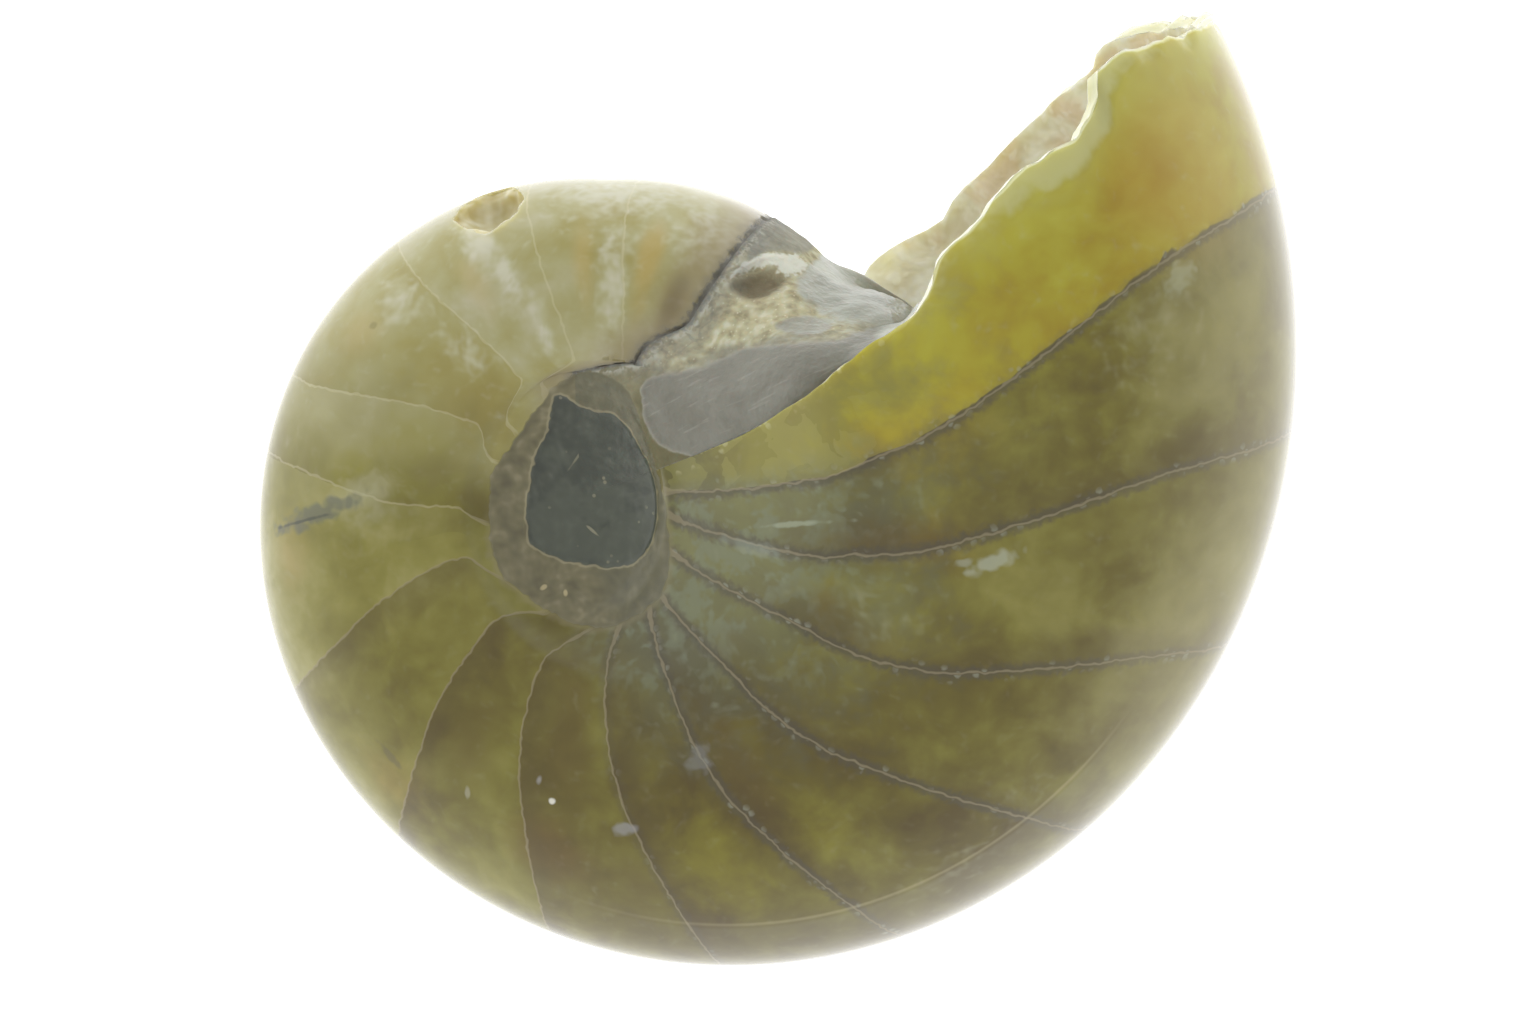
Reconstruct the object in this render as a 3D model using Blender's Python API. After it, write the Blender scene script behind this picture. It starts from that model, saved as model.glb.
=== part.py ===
"""A polished fossil nautilus, lying on its flank.

The shell is one whorl that wraps its own beginning, closed by stone in both navels and hollow at its
broken mouth. It is modelled in a shell frame: the Z axis is the axis that it coils about, the plane Z = 0
is its plane of symmetry, and a whorl angle grows from the beginning of the whorl to the mouth. It is then
leaned over on to its lower flank. Lengths are in metres and angles in degrees.

A point of the surface is given by a whorl angle and a row: 0 is the middle of the near navel, 0.5 is the
outer edge (venter) and 1 is the middle of the far navel. A row's height is how far it is from a navel:
0 there and 1 at the venter.
"""

import math

import bmesh
import bpy
import numpy as np
from mathutils import Matrix, Vector

# The spiral of the venter: its radius at whorl angle 0, and its growth per radian.
SPIRAL_RADIUS = 0.02084
SPIRAL_GROWTH = 0.1771

# The whorl's section. The crown is where a flank stands highest, and a fillet eases it up from the
# navel's rim.
CROWN_SHARE = 0.42
CROWN_HEIGHT_SHARE = 0.385
SECTION_POWER = 2.3
RIM_ROW = 0.24
CROWN_ROW = 0.50
RIM_FILLET = 0.06

# The navels, filled with stone: an egg-shaped rim round a middle that is a little off the axis.
NAVEL_MIDDLE = (-0.0028, -0.0015)
NAVEL_HALF_WIDTH = 0.0088
NAVEL_HALF_HEIGHT = 0.0121
RIM_HEIGHT = 0.0140
NAVEL_DEPTH = 0.0006

# Whorl angle of the broken lip by row height, on the near and on the far wall.
NEAR_LIP = (
    (0.00, 380.0), (0.24, 381.0), (0.34, 382.0), (0.42, 384.5), (0.49, 387.5), (0.54, 389.0),
    (0.58, 394.5), (0.63, 396.5), (0.71, 396.3), (0.77, 399.8), (0.84, 398.8), (1.00, 397.2),
)
FAR_LIP = (
    (0.00, 381.0), (0.24, 382.0), (0.34, 391.0), (0.43, 399.8), (0.46, 401.5), (0.52, 399.0),
    (0.55, 400.8), (0.64, 401.6), (0.74, 402.0), (0.83, 399.6), (1.00, 397.2),
)

# Whorl angle at which the bare beginning of the whorl comes out from under the callus, by row height.
BEGINNING = ((0.00, 96.0), (0.24, 92.0), (0.41, 83.0), (0.52, 75.0), (0.60, 63.0), (1.00, 61.0))

# The callus laid over the beginning raises its outer edge: (whorl angle, growth of the radius).
CREST_SWELL = (
    (0.0, 0.41), (26.0, 0.40), (32.0, 0.33), (38.0, 0.20), (45.0, 0.14), (60.0, 0.10), (78.0, 0.045),
    (95.0, 0.0),
)

# Lines are drawn along the whorl from its beginning to its lip. A line's row at each end, by its number
# from 0 to 1: the line that leaves the crest of the beginning ends on the near wall, where the lip stops
# lying on the callus.
LINE_BEGINS = ((0.0, 0.0), (0.12, 0.12), (0.38, 0.50), (0.86, 0.84), (1.0, 1.0))
LINE_ENDS = ((0.0, 0.0), (0.12, 0.12), (0.38, 0.27), (0.62, 0.50), (0.86, 0.80), (1.0, 1.0))

# How much of the drop from the lip to the beginning's own surface is open, by line. The rest is callus.
LIP_DROP = (
    (0.0, 0.0), (0.13, 0.0), (0.17, 0.04), (0.27, 0.07), (0.31, 0.18), (0.345, 0.55), (0.38, 1.0),
    (0.80, 1.0), (0.86, 0.5), (0.90, 0.0), (1.0, 0.0),
)

# The lines where the lip stops lying on the callus, on the near and on the far wall.
CALLUS_LEAVES = (0.29, 0.37)
CALLUS_RETURNS = (0.86, 0.92)

# The hollow of the body chamber: the lines where it opens and closes, its wall, and its end, the last
# septum, by row height.
HOLLOW_OPENS = (0.37, 0.47)
HOLLOW_CLOSES = (0.79, 0.87)
LIP_THICKNESS = 0.0020
WALL_THICKNESS = 0.0034
SEPTUM_EDGE = ((0.50, 362.0), (0.60, 367.0), (0.75, 373.0), (1.00, 379.0))
SEPTUM_FOOT = 358.0
SEPTUM_DEPTH = 0.0085

# The scoop missing from the venter on the early part of the whorl, made by a ball: the ball's place round
# the whorl, out from the venter and towards the near side, and its radius.
SCOOP_ANGLE = 117.5
SCOOP_OUT = 0.0008
SCOOP_LIFT = 0.0042
SCOOP_RADIUS = 0.0042

# The lean of the coiling axis as the fossil lies, towards a direction in the shell's plane, and how much
# is ground off underneath.
LEAN = 11.4
LEAN_DIRECTION = 37.0
GROUND_OFF = 0.0016

# Mesh density: steps along the whorl, over the lip, down the wall and over the septum, and back along the
# callus, and the number of lines.
WHORL_STEPS = 72
LIP_STEPS = 1
INNER_STEPS = 8
CALLUS_STEPS = 7
LINES = 48

STONE_COLOR = (0.42, 0.38, 0.15, 1.0)
STONE_ROUGHNESS = 0.16


def ease(start, end, value):
    """0 at start, 1 at end, smooth between."""
    share = np.clip((value - start) / (end - start), 0.0, 1.0)
    return share * share * (3.0 - 2.0 * share)


def table(pairs, value):
    """Straight-line reading of a table of (place, value) pairs."""
    return np.interp(value, [pair[0] for pair in pairs], [pair[1] for pair in pairs])


def mix(first, second, share):
    return first + (second - first) * share


def venter_radius(angle):
    return SPIRAL_RADIUS * np.exp(SPIRAL_GROWTH * np.radians(angle)) * (1.0 + table(CREST_SWELL, angle))


def crown_height(angle):
    """Half-width of the whorl at its crown, never less than the navel's rim."""
    grown = CROWN_HEIGHT_SHARE * venter_radius(angle)
    return (RIM_HEIGHT**6 + grown**6) ** (1.0 / 6.0)


def rim_radius(angle):
    """Distance of the navel's rim from its middle."""
    turned = np.radians(angle)
    return 1.0 / np.hypot(np.cos(turned) / NAVEL_HALF_WIDTH, np.sin(turned) / NAVEL_HALF_HEIGHT)


def section(angle, height, inset=0.0):
    """(distance from the axis or the navel's middle, lift off the plane) on the whorl's section."""
    in_navel = np.clip(height / RIM_ROW, 0.0, 1.0)
    on_slope = np.clip((height - RIM_ROW) / (CROWN_ROW - RIM_ROW), 0.0, 1.0)
    on_flank = np.clip((height - CROWN_ROW) / (1.0 - CROWN_ROW), 0.0, 1.0) * math.pi / 2
    crown = CROWN_SHARE * venter_radius(angle)
    top = crown_height(angle) - inset
    beyond_crown = (1.0 - CROWN_SHARE) * venter_radius(angle) - inset
    out = mix(in_navel * rim_radius(angle), crown, on_slope)
    out = out + beyond_crown * np.sin(on_flank) ** (2.0 / SECTION_POWER)
    navel_floor = RIM_HEIGHT - NAVEL_DEPTH * (1.0 - ease(0.80, 1.0, in_navel))
    climbed = (1.0 + RIM_FILLET) * on_slope**2 / (on_slope + RIM_FILLET)
    lift = mix(navel_floor, top, np.sin(climbed * math.pi / 2))
    return out, lift * np.cos(on_flank).clip(0.0) ** (2.0 / SECTION_POWER)


def row_height(row):
    return 1.0 - np.abs(2.0 * row - 1.0)


def surface(angle, row, inset=0.0):
    """A place on the whorl as (angle, distance, lift, share of the navel's offset), which mix smoothly."""
    height = row_height(row)
    out, lift = section(angle, height, inset)
    off_axis = 1.0 - ease(RIM_ROW, CROWN_ROW, height)
    sided = np.where(row <= 0.5, lift, -lift)
    return np.stack(np.broadcast_arrays(angle, out, sided, off_axis), axis=-1)


def a_turn_on(place):
    return place + np.array([360.0, 0.0, 0.0, 0.0])


def to_point(place):
    """X, Y and Z in the shell frame."""
    angle = np.radians(place[..., 0])
    return np.stack([
        NAVEL_MIDDLE[0] * place[..., 3] + place[..., 1] * np.cos(angle),
        NAVEL_MIDDLE[1] * place[..., 3] + place[..., 1] * np.sin(angle),
        place[..., 2],
    ], axis=-1)


def lip_angle(row):
    height = row_height(row)
    return np.where(row <= 0.5, table(NEAR_LIP, height), table(FAR_LIP, height))


def hollow_wall(share, lip, end):
    """Down the inside of the body chamber's wall, from the lip to the septum's edge."""
    edge = table(SEPTUM_EDGE, row_height(end))
    thickness = mix(LIP_THICKNESS, WALL_THICKNESS, ease(0.0, 0.6, share))
    return surface(mix(lip, edge, share), end, thickness)


def septum(share, end, start):
    """Over the bowl of the last septum, from its edge to its foot on the callus."""
    edge = surface(table(SEPTUM_EDGE, row_height(end)), end, WALL_THICKNESS)
    place = mix(edge, a_turn_on(surface(SEPTUM_FOOT - 360.0, start)), share[..., None])
    place[..., 0] -= np.degrees(SEPTUM_DEPTH * np.sin(share * math.pi) / place[..., 1].clip(0.01))
    return place


def inside_point(past, line):
    """From the lip into the hollow, or over the callus, and on to the bare beginning of the whorl."""
    end, start = table(LINE_ENDS, line), table(LINE_BEGINS, line)
    lip = lip_angle(end)
    bare = table(BEGINNING, row_height(start)) + 360.0
    drop = table(LIP_DROP, line)
    on_callus = 1.0 - ease(*CALLUS_LEAVES, line) * (1.0 - ease(*CALLUS_RETURNS, line))
    hollow = (ease(*HOLLOW_OPENS, line) * (1.0 - ease(*HOLLOW_CLOSES, line)))[..., None]

    over_lip = np.clip(past / LIP_STEPS, 0.0, 1.0)
    inner = np.clip((past - LIP_STEPS) / INNER_STEPS, 0.0, 1.0)
    back = np.clip((past - LIP_STEPS - INNER_STEPS) / CALLUS_STEPS, 0.0, 1.0)

    gone = on_callus * INNER_STEPS / (INNER_STEPS + CALLUS_STEPS)
    turned = mix(gone * inner, 1.0, back)
    fallen = drop * mix(inner, 1.0, on_callus) * over_lip
    foot = a_turn_on(surface(lip - 360.0, start))
    inset = surface(lip, end, LIP_THICKNESS * over_lip * (1.0 - on_callus))
    raised = (inset - foot) * ((1.0 - fallen) * (1.0 - ease(0.0, 1.0, turned)))[..., None]
    over_callus = a_turn_on(surface(mix(lip, bare, turned) - 360.0, start)) + raised

    wall = hollow_wall(np.clip(2.0 * inner, 0.0, 1.0), lip, end)
    bowl = septum(np.clip(2.0 * inner - 1.0, 0.0, 1.0), end, start)
    along = a_turn_on(surface(mix(SEPTUM_FOOT, bare, back) - 360.0, start))
    chamber = np.where((inner <= 0.5)[..., None], wall, np.where((back > 0.0)[..., None], along, bowl))
    chamber = np.where((inner <= 0.0)[..., None], over_callus, chamber)
    return mix(over_callus, chamber, hollow)


def shell_point(step, line):
    """A point of the closed surface: along the whorl, over the lip and back to the whorl's beginning."""
    end, start = table(LINE_ENDS, line), table(LINE_BEGINS, line)
    along = np.clip(step / WHORL_STEPS, 0.0, 1.0)
    row = mix(start, end, ease(0.0, 1.0, along))
    outside = surface(mix(table(BEGINNING, row_height(start)), lip_angle(end), along), row)
    past = np.clip(step - WHORL_STEPS, 0.0, None)
    return to_point(np.where((past > 0.0)[..., None], inside_point(past, line), outside))


def solid_shell():
    """A sphere whose parallels become the lines along the whorl, and whose poles are the navels' middles."""
    steps = WHORL_STEPS + LIP_STEPS + INNER_STEPS + CALLUS_STEPS
    form = bmesh.new()
    bmesh.ops.create_uvsphere(form, u_segments=steps, v_segments=LINES, radius=1.0)
    unit = np.array([vertex.co for vertex in form.verts])
    step = np.round(np.degrees(np.arctan2(unit[:, 1], unit[:, 0])) % 360.0 / 360.0 * steps) % steps
    line = np.round(np.degrees(np.arccos(unit[:, 2].clip(-1.0, 1.0))) / 180.0 * LINES) / LINES
    for vertex, place in zip(form.verts, shell_point(step, line)):
        vertex.co = place
    mesh = bpy.data.meshes.new("nautilus_fossil")
    form.to_mesh(mesh)
    form.free()
    return mesh


def scoop_cutter():
    """A ball sunk in the venter."""
    radius = float(venter_radius(SCOOP_ANGLE)) + SCOOP_OUT
    angle = math.radians(SCOOP_ANGLE)
    place = (radius * math.cos(angle), radius * math.sin(angle), SCOOP_LIFT)
    form = bmesh.new()
    bmesh.ops.create_icosphere(form, subdivisions=3, radius=SCOOP_RADIUS)
    bmesh.ops.transform(form, matrix=Matrix.Translation(place), verts=form.verts)
    mesh = bpy.data.meshes.new("scoop")
    form.to_mesh(mesh)
    form.free()
    return bpy.data.objects.new("scoop", mesh)


def ground_cutter():
    """A block that reaches up to the ground."""
    form = bmesh.new()
    bmesh.ops.create_cube(form, size=0.2)
    bmesh.ops.translate(form, verts=form.verts, vec=(0.0, 0.0, -0.1))
    mesh = bpy.data.meshes.new("ground_flat")
    form.to_mesh(mesh)
    form.free()
    return bpy.data.objects.new("ground_flat", mesh)


def resting_rotation():
    """Turns the shell frame so that the leaning axis stands upright."""
    lean, direction = math.radians(LEAN), math.radians(LEAN_DIRECTION)
    sideways = math.sin(lean)
    tip = Vector((sideways * math.cos(direction), sideways * math.sin(direction), math.cos(lean)))
    return tip.rotation_difference(Vector((0.0, 0.0, 1.0))).to_matrix()


def cut(body, cutter):
    modifier = body.modifiers.new(cutter.name, "BOOLEAN")
    modifier.operation = "DIFFERENCE"
    modifier.solver = "EXACT"
    modifier.object = cutter
    cutter.hide_render = True
    cutter.display_type = "WIRE"


def stone_material():
    material = bpy.data.materials.new("polished_stone")
    material.use_nodes = True
    shader = material.node_tree.nodes["Principled BSDF"]
    shader.inputs["Base Color"].default_value = STONE_COLOR
    shader.inputs["Roughness"].default_value = STONE_ROUGHNESS
    shader.inputs["Metallic"].default_value = 0.0
    return material


def main():
    for old in list(bpy.data.objects):
        bpy.data.objects.remove(old)
    parts = bpy.data.collections.new("fossil_nautilus")
    helpers = bpy.data.collections.new("cutters")
    for collection in (parts, helpers):
        bpy.context.scene.collection.children.link(collection)

    mesh = solid_shell()
    turned = np.array([resting_rotation() @ vertex.co for vertex in mesh.vertices])
    low, high = turned.min(axis=0), turned.max(axis=0)
    pose = bpy.data.objects.new("resting_pose", None)
    pose.rotation_mode = "QUATERNION"
    pose.rotation_quaternion = resting_rotation().to_quaternion()
    pose.location = (-(low[0] + high[0]) / 2, -(low[1] + high[1]) / 2, -low[2] - GROUND_OFF)
    parts.objects.link(pose)

    fossil = bpy.data.objects.new("nautilus_fossil", mesh)
    fossil.parent = pose
    fossil.data.materials.append(stone_material())
    parts.objects.link(fossil)
    mesh.shade_smooth()
    mesh.set_sharp_from_angle(angle=math.radians(35.0))

    scoop = scoop_cutter()
    scoop.parent = pose
    for cutter in (scoop, ground_cutter()):
        helpers.objects.link(cutter)
        cut(fossil, cutter)


main()
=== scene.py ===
"""Polished fossil nautilus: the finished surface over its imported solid, and a light table to show it on.

The shell is worked in its own frame: Z is the axis that it coils about, and Z = 0 is its plane of symmetry.
A place on it has a path (0 to 1: along the whorl, over the broken lip, through the hollow or over the callus,
and back to the whorl's beginning) and a line (0 at the middle of the near navel, 1 at the far one). On the
whorl these give a whorl angle in degrees, and a height: 0 in a navel, 1 at the outer edge (venter).
"""

import math

import bpy
import numpy as np
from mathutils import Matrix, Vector, noise


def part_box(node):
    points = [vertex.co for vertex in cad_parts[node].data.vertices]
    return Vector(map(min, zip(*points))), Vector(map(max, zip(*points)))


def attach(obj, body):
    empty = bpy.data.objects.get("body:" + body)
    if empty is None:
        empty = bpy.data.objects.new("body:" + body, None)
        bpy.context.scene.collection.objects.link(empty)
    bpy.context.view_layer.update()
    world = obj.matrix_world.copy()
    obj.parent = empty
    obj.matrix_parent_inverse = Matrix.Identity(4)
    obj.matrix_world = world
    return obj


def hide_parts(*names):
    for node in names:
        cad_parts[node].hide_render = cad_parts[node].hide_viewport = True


bl_info = {
    "name": "Fossil Nautilus",
    "version": (1, 0, 0),
    "blender": (4, 5, 0),
    "location": "3D Viewport > Sidebar > Fossil",
    "description": "A polished fossil nautilus with its chambers, filled navels and broken mouth",
    "category": "Object",
}

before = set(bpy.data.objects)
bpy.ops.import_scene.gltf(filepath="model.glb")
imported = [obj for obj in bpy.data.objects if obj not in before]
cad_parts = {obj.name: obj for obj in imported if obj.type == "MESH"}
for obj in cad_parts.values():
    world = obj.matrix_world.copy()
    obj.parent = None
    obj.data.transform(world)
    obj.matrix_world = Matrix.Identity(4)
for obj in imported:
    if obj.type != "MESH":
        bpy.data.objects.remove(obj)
NODE = "nautilus_fossil"
CAD_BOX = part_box(NODE)
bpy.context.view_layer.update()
MM = 0.001

# Where each stretch of the path ends: the whorl, the lip, the hollow's inside; the callus runs on to 1.
WHORL_END, LIP_END, HOLLOW_END = 0.60, 0.63, 0.81

# The shell's proportions, as on the solid: a navel's rim and depth, and where its flank's crown stands.
NAVEL_MIDDLE = (-0.0028, -0.0015)
NAVEL_HALF_WIDTH, NAVEL_HALF_HEIGHT = 0.0088, 0.0121
RIM_HEIGHT, NAVEL_DEPTH = 0.0140, 0.0006
CROWN_SHARE, CROWN_HEIGHT_SHARE, CROWN_BLEND, SECTION_POWER = 0.42, 0.385, 6, 2.3
RIM_ROW, CROWN_ROW = 0.24, 0.50
# The slope from a navel's rim to the crown is straighter than the solid's, and its rim stands up a little.
RIM_RISE, SLOPE_FOOT, SLOPE_HEAD = 0.25, 0.10, 0.32
# Where the whorl's bare beginning comes out from under the callus (whorl angle by height), and how the callus
# swells the crest there (growth of the radius by whorl angle).
BEGINNING = ((0.0, 96.0), (0.24, 92.0), (0.41, 83.0), (0.52, 75.0), (0.60, 63.0), (1.0, 61.0))
CREST_SWELL = (
    (0.0, 0.41), (26.0, 0.40), (32.0, 0.33), (38.0, 0.20), (45.0, 0.14), (60.0, 0.10), (78.0, 0.045),
    (95.0, 0.0),
)
# The row of each line at the whorl's beginning and at its end, and how far the lip drops beside the callus.
LINE_BEGINS = ((0.0, 0.0), (0.12, 0.12), (0.38, 0.50), (0.86, 0.84), (1.0, 1.0))
LINE_ENDS = ((0.0, 0.0), (0.12, 0.12), (0.38, 0.27), (0.62, 0.50), (0.86, 0.80), (1.0, 1.0))
LIP_DROP = (
    (0.0, 0.0), (0.13, 0.0), (0.17, 0.04), (0.20, 0.04), (0.27, 0.07), (0.31, 0.18), (0.355, 0.55),
    (0.40, 1.0), (0.80, 1.0), (0.86, 0.5), (0.90, 0.0), (1.0, 0.0),
)
# On which lines the lip leaves the callus and returns to it, and on which the hollow opens and closes. The
# callus's crust reaches a little past the lip's last line on it.
CALLUS_LEAVES, CALLUS_RETURNS = (0.29, 0.37), (0.86, 0.92)
HOLLOW_OPENS, HOLLOW_CLOSES = (0.383, 0.42), (0.79, 0.87)
COATED_LINE = 0.39
# Inside the hollow: the wall, and the last septum, whose edge is a whorl angle by height.
WALL_THICKNESS = 0.0034
SEPTUM_EDGE = ((0.50, 362.0), (0.60, 367.0), (0.75, 373.0), (1.00, 379.0))
SEPTUM_FOOT = 358.0

# The broken lip's whorl angle by height, with the steps of its break, on the near and on the far wall.
NEAR_LIP = (
    (0.0, 380.0), (0.24, 381.0), (0.34, 382.0), (0.42, 384.6), (0.49, 387.6), (0.54, 389.1), (0.555, 391.0),
    (0.575, 394.4), (0.605, 394.9), (0.635, 396.5), (0.69, 396.7), (0.715, 396.2), (0.75, 397.9),
    (0.768, 399.9), (0.81, 399.6), (0.84, 398.8), (0.89, 398.0), (1.0, 397.2),
)
FAR_LIP = (
    (0.0, 381.0), (0.24, 382.0), (0.34, 391.0), (0.43, 399.8), (0.46, 401.5), (0.50, 400.9), (0.523, 398.9),
    (0.54, 400.5), (0.60, 401.3), (0.64, 401.6), (0.70, 401.1), (0.744, 402.2), (0.775, 401.3), (0.83, 399.6),
    (1.0, 397.2),
)
# The lip's fine jags: sines of the height, each (degrees, pace, start).
LIP_JAGS = ((0.13, 97.0, 0.0), (0.09, 173.0, 1.0), (0.05, 311.0, 2.0))

# How the mesh is spread: share of the steps to path, and share of the lines to line.
PATH_SPREAD = ((0.0, 0.0), (0.52, 0.585), (0.67, 0.65), (0.80, 0.81), (1.0, 1.0))
LINE_SPREAD = ((0.0, 0.0), (0.22, 0.13), (0.50, 0.42), (0.72, 0.62), (0.90, 0.88), (1.0, 1.0))
SEAM = 0.3
# Stretches of path and of lines with finer faces: the lip, the callus beside it, and the notch.
DETAIL = (
    ((0.585, 0.66), (0.30, 0.86)), ((0.655, 1.02), (0.13, 0.44)), ((1.00, 1.03), (0.13, 0.52)),
    ((1.080, 1.122), (0.27, 0.42)), ((1.082, 1.120), (0.28, 0.41)),
)
# Soft stains in the calcite: (whorl angle, height, reach in degrees, reach in height, strength).
STAINS = {
    "rust": (
        (389, 0.80, 7, 0.08, 0.8), (371, 0.53, 9, 0.06, 0.35), (352, 0.54, 5, 0.05, 0.4),
        (80, 0.70, 3, 0.08, 0.8), (80, 0.60, 3, 0.06, 0.4), (97, 0.68, 3, 0.12, 0.5),
        (125, 0.68, 4, 0.08, 0.4), (150, 0.76, 6, 0.07, 0.4), (260, 0.69, 7, 0.05, 0.4),
        (233, 0.75, 7, 0.06, 0.4), (193, 0.76, 8, 0.06, 0.4),
    ),
    "gold": (
        (384, 0.58, 16, 0.16, 0.6), (286, 0.68, 7, 0.08, 0.6), (302, 0.66, 6, 0.07, 0.4),
        (166, 0.56, 9, 0.06, 0.6), (375, 0.84, 5, 0.07, 0.5), (346, 0.80, 8, 0.08, 0.3),
        (175, 0.64, 8, 0.05, 0.4), (158, 0.72, 6, 0.06, 0.4),
    ),
    "cloud": (
        (120, 0.77, 3, 0.06, 0.9), (117, 0.67, 2.5, 0.05, 0.7), (113, 0.56, 3, 0.05, 0.6),
        (140, 0.74, 4, 0.05, 0.6), (138, 0.57, 4, 0.05, 0.5), (89, 0.66, 4, 0.12, 0.6),
        (90, 0.88, 12, 0.07, 0.7), (186, 0.61, 6, 0.05, 0.6), (377, 0.73, 4, 0.05, 0.35),
        (322, 0.78, 4, 0.03, 0.25), (337, 0.53, 4, 0.04, 0.25), (312, 0.80, 5, 0.03, 0.25),
        (70, 0.82, 7, 0.10, 0.5),
    ),
    "brown": (
        (352, 0.49, 6, 0.05, 0.5), (333, 0.50, 6, 0.05, 0.5), (297, 0.58, 4, 0.07, 0.6),
        (262, 0.54, 6, 0.10, 0.5), (262, 0.70, 7, 0.05, 0.5), (242, 0.60, 6, 0.08, 0.4),
        (317, 0.44, 6, 0.06, 0.4), (275, 0.70, 5, 0.05, 0.4), (70, 0.62, 4, 0.08, 0.5),
        (104, 0.30, 8, 0.08, 0.4),
    ),
}
# How light the chambers are, from the first to the body chamber: (chamber where a tone begins, tone).
CHAMBERS = 16.0
CHAMBER_TONES = (
    (0, "#b8b8b8"), (3, "#a2a2a2"), (4, "#bababa"), (5, "#d2d2d2"), (6, "#c8c8c8"), (7, "#b2b2b2"),
    (8, "#a6a6a6"), (9, "#989898"), (10, "#969696"), (11, "#aeaeae"), (12, "#bababa"), (13, "#b6b6b6"),
    (14, "#bcbcbc"),
)
# Small marks on the near flank: (whorl angle, height, half length and half width in millimetres, turn in
# degrees as the fossil lies, colour, strength). They are a healed crack in its smear, chips of clear crystal,
# pits and pale specks.
MARKS = (
    (182, 0.61, 3.2, 1.5, 20, "#b4b293", 0.4), (187, 0.70, 5.0, 1.0, 21, "#5d6156", 0.95),
    (188, 0.73, 2.5, 0.20, 14, "#363a32", 0.9), (351, 0.60, 2.7, 0.75, 24, "#aab0a0", 0.75),
    (350, 0.575, 0.9, 0.4, 10, "#a3a99b", 0.6), (344, 0.37, 3.2, 0.7, -14, "#98a294", 0.5),
    (353, 0.41, 4.0, 0.30, 4, "#a9b39c", 0.6), (380, 0.77, 1.3, 2.1, -25, "#a9ae94", 0.5),
    (273, 0.63, 1.1, 0.6, 5, "#9a9ba0", 0.7), (257, 0.60, 0.3, 0.5, 0, "#a2a19e", 0.8),
    (260, 0.62, 0.32, 0.30, 0, "#ecece4", 0.95), (245, 0.67, 0.25, 0.55, 0, "#aaa99a", 0.6),
    (290, 0.55, 1.2, 1.5, -30, "#8b8d8a", 0.5), (231, 0.72, 1.8, 0.35, -52, "#57523f", 0.6),
    (148, 0.74, 0.45, 0.35, 30, "#7f7a48", 0.7), (247, 0.20, 0.35, 0.22, 40, "#cbbd92", 0.8),
    (260, 0.187, 0.22, 0.36, 0, "#cbbd92", 0.8), (97, 0.075, 1.2, 0.13, 55, "#8e8a70", 0.8),
    (287, 0.07, 0.9, 0.13, -40, "#a09b80", 0.8),
)

# A septum meets the flank in a suture. Each suture: its whorl angle inside the crown, how far it turns on
# towards the venter and towards the navel, and how much sooner in height it starts to turn.
SUTURES = (
    (83.0, 5.0, 4.0, 0.0), (105.0, 4.0, 4.0, 0.0), (129.5, 6.0, 6.0, 0.0), (155.5, 9.0, 2.0, 0.0),
    (189.0, -12.0, 9.0, 0.0), (205.5, 8.0, 33.0, -0.04), (230.0, 8.0, 25.0, -0.04),
    (249.5, 11.0, 34.0, -0.03), (270.0, 11.0, 28.0, -0.03), (289.0, 12.0, 24.0, -0.03),
    (305.5, 17.0, 10.0, 0.0), (326.5, 18.0, 7.0, -0.02), (343.0, 20.5, 10.0, 0.05), (363.5, 20.0, 3.0, 0.05),
)
# How the turn grows with height, towards the venter and towards the navel, on a flank of this length.
FLANK_LENGTH = 0.060
VENTER_RUN = ((0.40, 0.0), (0.50, 0.08), (0.57, 0.30), (0.64, 0.58), (0.72, 0.80), (0.82, 0.94), (1.0, 1.0))
NAVEL_RUN = ((0.20, 1.1), (0.235, 0.92), (0.27, 0.62), (0.34, 0.30), (0.43, 0.08), (0.50, 0.0))

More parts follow.
